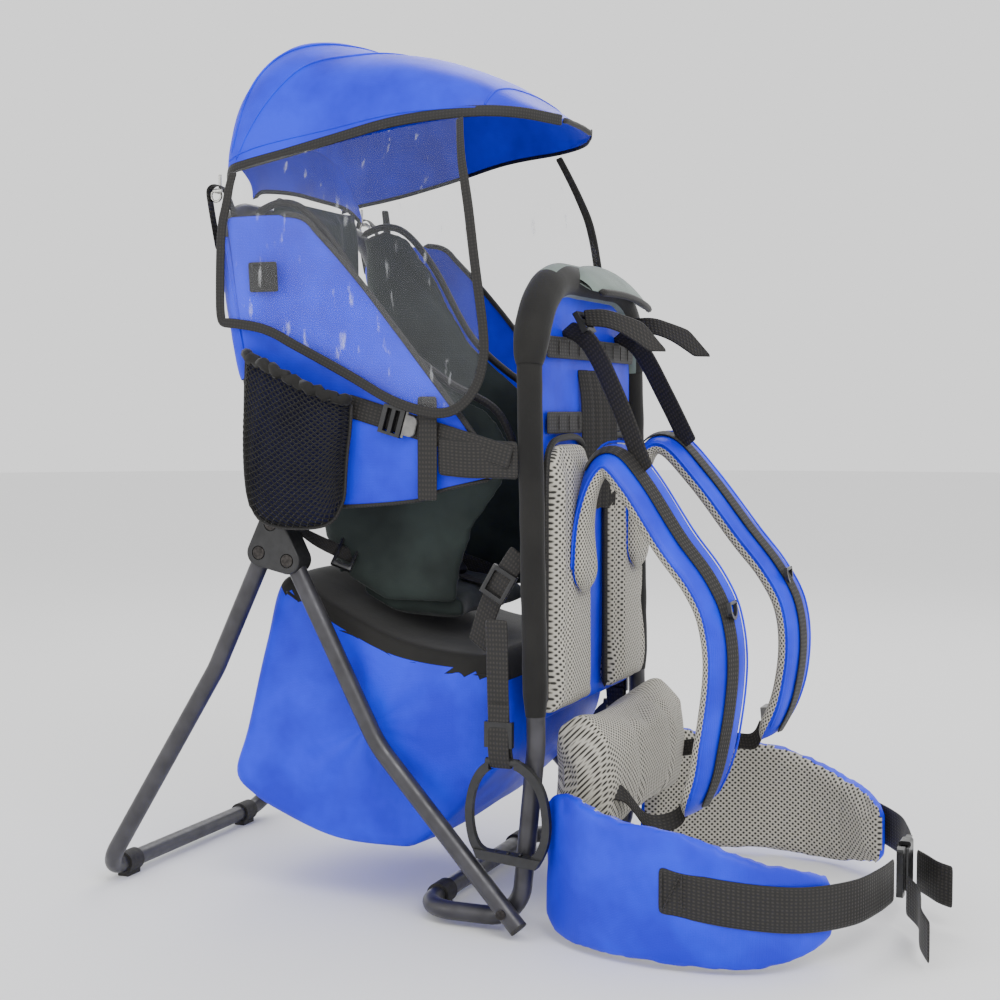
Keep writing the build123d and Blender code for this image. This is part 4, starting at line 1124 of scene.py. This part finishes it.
# %% [markdown]
# The uprights and the arch of the back frame wear a black padded sleeve. It is a loose tube of cloth
# with small puckers where it turns the arch, and piping runs down its outer side.

# %% Back frame sleeve
def bent(corners, radius):
    """Points along straight runs joined by arcs."""
    spots = [np.array(c, float) for c in corners]
    line = [spots[0]]
    for a, b, c in zip(spots, spots[1:], spots[2:]):
        into = (b - a) / np.linalg.norm(b - a)
        out = (c - b) / np.linalg.norm(c - b)
        turn = math.acos(float(into.dot(out)))
        begin = b - into * radius * math.tan(turn / 2)
        hub = b + (out - into) / np.linalg.norm(out - into) * radius / math.cos(turn / 2)
        line += [hub + math.cos(turn * k / 10) * (begin - hub) + math.sin(turn * k / 10) * into * radius
                 for k in range(11)]
    return line + [spots[-1]]


def upright_y(z):
    """Where the leaning upright's centre line is at a height."""
    return -24 + 10 * (z - 200) / 492


SLEEVE_LOW_Z = 232
low_y = upright_y(SLEEVE_LOW_Z)
FRAME_PATH = [(-178, low_y, SLEEVE_LOW_Z), (-178, -14, 692), (178, -14, 692), (178, low_y, SLEEVE_LOW_Z)]
frame_line = smooth(bent(FRAME_PATH, 105), steps=1)


def puckered(u, v):
    """Sleeve radius with puckers."""
    ends = 2.6 * max(0, 1 - min(v, 1 - v) * 60)
    return 13.7 - ends + 0.9 * noise.noise(Vector((u * 5, v * 60, 1)))


sleeve = cover("frame_sleeve_cloth", frame_line, puckered, 130, 14, first=(0, 1, 0))
dress(sleeve, "frame", "black_cloth", black_cloth, instead=("frame_sleeve",))

# %% [markdown]
# Over the top of the arch sits the pad that the child's face rests on: thick foam in brushed
# grey-green cloth, with a wide black binding round it and a lip that folds towards the wearer.

# %% Face pad over the arch
PAD_LOW_Z = 598
skip = (PAD_LOW_Z - SLEEVE_LOW_Z) / frame_line.length
face_line = smooth([frame_line(t) for t in np.linspace(skip, 1 - skip, 40)], steps=2)


def plump(u, v):
    """Pad radius: full in its run, drawn in at its ends."""
    ends = min(v, 1 - v)
    return 14.2 + 5.4 * min(1, ends * 14) ** 0.5 + 0.8 * noise.noise(Vector((u * 4, v * 16, 5)))


face_pad = cover("face_pad", face_line, plump, 70, 20, first=(0, 1, 0))
dress(face_pad, "frame", "fleece", fleece, black_cloth, instead=("drool_pad",))
second_finish(face_pad, lambda spot, normal: abs(spot.x) > 120 and spot.x * normal.x > 0 or normal.y < -0.55)


def lip_point(u, v):
    """Fold that hangs towards the wearer: u along the arch, v round its thickness."""
    x = -70 + 196 * u
    turn = 2 * math.pi * v
    deep = math.sin(math.pi * min(1, max(0, u))) ** 0.35
    reach = math.cos(turn) * (0.45 + 0.55 * deep)
    y = -37 + 25 * reach
    drop = 15 * (reach - 1) * (0.5 - 0.5 * reach) - 0.0009 * x * x
    return (x, y, 709 + drop + 8.5 * math.sin(turn) * (0.3 + 0.7 * deep) - 8 * (1 - deep))


lip = panel("face_pad_lip", 30, 16, lip_point, wrap=True)
dress(lip, "frame", "fleece", fleece)
piping("face_pad_binding", [lip_point(u, 0.5) for u in np.linspace(0.02, 0.98, 24)], 4.0)

# %% [markdown]
# Behind the wearer's back a blue panel is stretched between the uprights. It is rounded at the top,
# and dished a little, with a ladder of black webbing that lets the harness be set higher or lower.

# %% Back panel
def back_half(z):
    """Half width of the panel at a height, rounded under the arch."""
    return 154 if z < 587 else 63 + math.sqrt(max(0, 91 ** 2 - (z - 587) ** 2))


def back_point(u, v):
    z = 222 + 456 * (1 - (1 - v) ** 1.25)
    x = (2 * u - 1) * back_half(z)
    return (x, -19 - 4 * math.cos(x / 154 * math.pi / 2) * math.sin(math.pi * v), z)


back = panel("back_panel_cloth", 24, 40, back_point, thick_mm=2.4)
dress(back, "frame", "blue_cloth", blue_cloth, instead=("back_panel",))
for k, z in enumerate((618, 538)):
    run = [(x, -24.5 - 3 * math.cos(x / 150 * 1.5), z) for x in np.linspace(-150, 150, 14)]
    strap(f"ladder_web_{k}", run, 24, side=(0, 0, 1), steps=34, crown=0.5)
    for j, x in enumerate(np.linspace(-120, 120, 9)):
        tack = [(x, -27.2 - 3 * math.cos(x / 150 * 1.5), z + h) for h in (-10, 0, 10)]
        piping(f"ladder_tack_{k}_{j}", tack, 0.7, around=6, finish=webbing, slot="webbing", pitch=5)
for k, x in enumerate((-40, -12, 16, 44)):
    strap(f"height_web_{k}", [(x, -27, 596), (x, -32, 560), (x, -33, 500), (x, -31, 440)], 16,
          side=(0.75, -0.66, 0),
          steps=24, crown=0.4)

# %% [markdown]
# Two long pads of spacer mesh bear on the wearer's back, with an open channel between them for air.
# They are simulated cushions with a sewn border, and black binding closes the border.

# %% Back pads
pads = puff("back_mesh_pads", "back_pads", 5.0, 8.0, shrink_mm=2.0)
press_seams(pads, [[(s * x, -42, z) for z in (250, 340, 430, 500)] for s in (1, -1) for x in (52, 132)], 7, 4)
dress(finer(lay_flat(pads, lambda x, y, z: (x, z))), "frame", "mesh_cloth", spacer_mesh,
      instead=("back_pads",))
for name, side in SIDES.items():
    rim = both_sides([(37, -28, 230), (36, -28, 380), (38, -28, 490), (52, -28, 518), (100, -28, 522),
                      (146, -28, 514),
                      (160, -28, 480), (161, -28, 380), (161, -28, 240)], side)
    piping("back_pad_binding_" + name, rim, 3.6)

# %% [markdown]
# The lumbar cushion is a wedge of foam that fills the small of the back, in the same spacer mesh.

# %% Lumbar cushion
lumbar = puff("lumbar_cushion", "lumbar_pad", 6.0, 9.0, shrink_mm=2.0)
press_seams(lumbar, [[(x, -95, 105), (x, -98, 150), (x, -90, 205)] for x in (-60, 60)], 9, 5)
dress(finer(lay_flat(lumbar, lambda x, y, z: (x, z + y))), "frame", "mesh_cloth", spacer_mesh,
      instead=("lumbar_pad",))

# %% [markdown]
# The hip belt's two wings curve round the wearer. Each is foam between blue cloth outside and spacer
# mesh inside. A face that looks away from the wearer is blue, and one that looks
# in is mesh, so one test on each face's direction picks the cloth.

# %% Hip wings
for name, side in SIDES.items():
    wing = puff("hip_wing_pad_" + name, "hip_wing_" + name, 5.0, 6.0, shrink_mm=1.5)
    lay_flat(wing, lambda x, y, z: (math.atan2(y + 190, abs(x)) * 200, z))
    dress(finer(wing), "frame", "blue_cloth", blue_cloth, spacer_mesh, instead=("hip_wing_" + name,))
    second_finish(wing, lambda spot, normal: normal.dot(Vector((spot.x, spot.y + 190,
                                                                0)).normalized()) < -0.3)

# %% [markdown]
# Wide webbing is sewn to each wing and led to the side-release buckle in front. Its two ends hang loose
# past the buckle, and a box of stitching holds it to the wing.

# %% Hip belt webbing
BELT = {"right": [(243.4, -176), (236, -246), (205, -306), (150, -348), (95, -366), (48, -374)],
        "left": [(243.4, -176), (236, -246), (205, -306), (152, -348), (100, -366), (50, -378)]}
for name, path in BELT.items():
    run = [(SIDES[name] * x, y, float(np.interp(-y, [176, 330], [82, 62]))) for x, y in path]
    strap("hip_belt_" + name, run, 47, side=(0, 0, 1), steps=44, thick_mm=2.2,
          instead=("hip_webbing_" + name,))
strap("belt_tail_right", [(-28, -384, 42), (-62, -402, 38), (-110, -410, 33), (-142, -423, 28)], 44,
      side=(0.0, 0.0, 1), steps=24, thick_mm=2.2, instead=("hip_webbing_tails",))
strap("belt_tail_left", [(50, -384, 49), (26, -398, 50), (10, -412, 48), (2, -428, 46)], 46, side=(0, 0, 1),
      steps=20,
      thick_mm=2.2)
for k, side in enumerate((1, -1)):
    for j, y in enumerate((-180, -200)):
        x = side * 245.6
        mark = [(x, y, 62), (x, y, 81), (x, y, 101)]
        piping(f"belt_box_stitch_{k}_{j}", mark, 0.7, around=6, finish=webbing, slot="webbing")
    cross = [(side * 245.6, -181, 63), (side * 245.4, -190, 82), (side * 244.8, -199, 100)]
    piping(f"belt_box_cross_{k}", cross, 0.7, around=6, finish=webbing, slot="webbing")

# %% [markdown]
# A shoulder strap is a long curved pad: blue cloth outside, spacer mesh inside, bound at both edges,
# with a strip of webbing down its middle that carries the load. Its section is a flattened oval that
# narrows at both ends, and it follows the strap's own path over the shoulder and down the front.

# %% Shoulder straps
SHOULDER = {
    "right": [(-50, 356), (-48, 430), (-60, 482), (-80, 500), (-108, 472), (-148, 412), (-180, 370),
              (-198, 330),
              (-203, 270), (-189, 178), (-166, 122)],
    "left": [(-50, 366), (-48, 444), (-60, 500), (-88, 512), (-128, 472), (-178, 408), (-210, 368),
             (-231, 328),
             (-236, 277), (-226, 220), (-202, 172)],
}
TURN = {"right": math.radians(24), "left": math.radians(12)}
PAD_HALF, PAD_DEEP = 31.5, 10.5
for name, side in SIDES.items():
    path = smooth(SHOULDER[name])
    mid = side * 96

    def pad_axes(v, path=path, name=name):
        """Across the strap, and out of its outer face, as it turns towards the side."""
        way = heading(path, v)
        turn = TURN[name] * min(1, v * 4) * min(1, (1 - v) * 5 + 0.3)
        out = np.array((0, way[1], -way[0]))
        aside = np.array((1, 0, 0))
        return aside * math.cos(turn) + out * math.sin(turn), out * math.cos(turn) - aside * math.sin(turn)

    def pad_spot(v, across, out, path=path, mid=mid, axes=pad_axes):
        wide, face = axes(v)
        return np.array((mid, *path(v))) + wide * across + face * out

    def shoulder(u, v, at=pad_spot, mid=mid):
        turn = 2 * math.pi * u
        end = min(1, (min(v, 1 - v) * 26) ** 0.5)
        half = PAD_HALF * (0.35 + 0.65 * end)
        wide = half * math.copysign(abs(math.cos(turn)) ** 0.7, math.cos(turn))
        deep = (PAD_DEEP * end + 0.05) * math.copysign(abs(math.sin(turn)) ** 0.75, math.sin(turn))
        deep += 0.7 * noise.noise(Vector((u * 3, v * 12, mid))) * end
        return at(v, wide, deep)

    pad = panel("shoulder_pad_" + name, 28, 72, shoulder, wrap=True)
    dress(pad, "frame", "blue_cloth", blue_cloth, spacer_mesh, instead=("shoulder_strap_" + name,))
    steps = np.linspace(0, 1, 200)
    knots = np.array([pad_spot(t, 0, 0) for t in steps])
    faces = np.array([pad_axes(t)[1] for t in steps])

    def inner_face(spot, normal, knots=knots, faces=faces):
        near = int(np.argmin(np.linalg.norm(knots - np.array(spot), axis=1)))
        return float(np.dot(faces[near], normal)) < 0.42

    second_finish(pad, inner_face)
    for edge in (-1, 1):
        rim = [pad_spot(t, edge * (PAD_HALF - 0.6), PAD_DEEP - 4) for t in np.linspace(0.04, 0.96, 60)]
        piping(f"shoulder_piping_{name}_{edge + 1}", rim, 1.2, finish=blue_cloth, slot="blue_cloth")

    def web(u, v, at=pad_spot):
        t = 0.22 + 0.75 * v
        return at(t, (u - 0.5) * 20, PAD_DEEP + 1.6)

    dress(panel("shoulder_web_" + name, 4, 60, web, thick_mm=1.8), "frame", "webbing", webbing)

# %% [markdown]
# The load lifters run from the top of the back panel to the shoulder straps through ladder buckles.
# Their free ends hang down, and one pulls up into a leaf-shaped tab. Lower down, each shoulder strap
# ends in an adjuster with a narrower strap back to the hip belt.

# %% Load lifters and lower adjusters
lift = {"left": [(-26, 640), (-54, 622), (-86, 566), (-114, 511)],
        "right": [(-26, 640), (-54, 622), (-86, 560), (-116, 486)]}
for name, side in SIDES.items():
    x = side * 90.5
    strap("load_lifter_" + name, [(x - 4, y, z) for y, z in lift[name]], 25, side=(0.32, 0.78, -0.54),
          steps=30,
          instead=once(side, "load_lifter_webs"))
    leaf = smooth([(x, -46, 650), (x - 2, -74, 648), (x - 3, -106, 634), (x - 4, -138, 614)])

    def leaf_point(u, v, leaf=leaf):
        width = float(np.interp(v, [0, 0.45, 0.74, 1], [20, 25, 34, 3]))
        return leaf(v) + (u - 0.5) * width * np.array((0.3, 0.25, 0.92))

    dress(panel("lifter_tail_" + name, 4, 22, leaf_point, thick_mm=2.0), "frame", "webbing", webbing)
    down = SHOULDER[name][-1]
    low = [(side * 96, down[0] + 2, down[1] + 14), (side * 98, down[0] + 12, down[1] - 4),
           (side * 110, down[0] + 40, down[1] - 8), (side * 128, -100, 148), (side * 142, -66, 140)]
    strap("adjuster_strap_" + name, low, 20, side=(0.35, 0.3, 0.88), steps=26)
    ladder("adjuster_buckle_" + name, (side * 96, down[0] - 4, down[1] + 24), (28, 30, 8),
           facing((0, -1, 0.1), (0, 0.1, 1)),
           finish=grey_acetal if side > 0 else acetal, slot="grey_plastic" if side > 0 else "acetal", bars=2)

# %% Measure and finish
shown = [o for o in bpy.data.objects if o.type == "MESH" and not o.hide_render]
print("visible pieces:", len(shown))
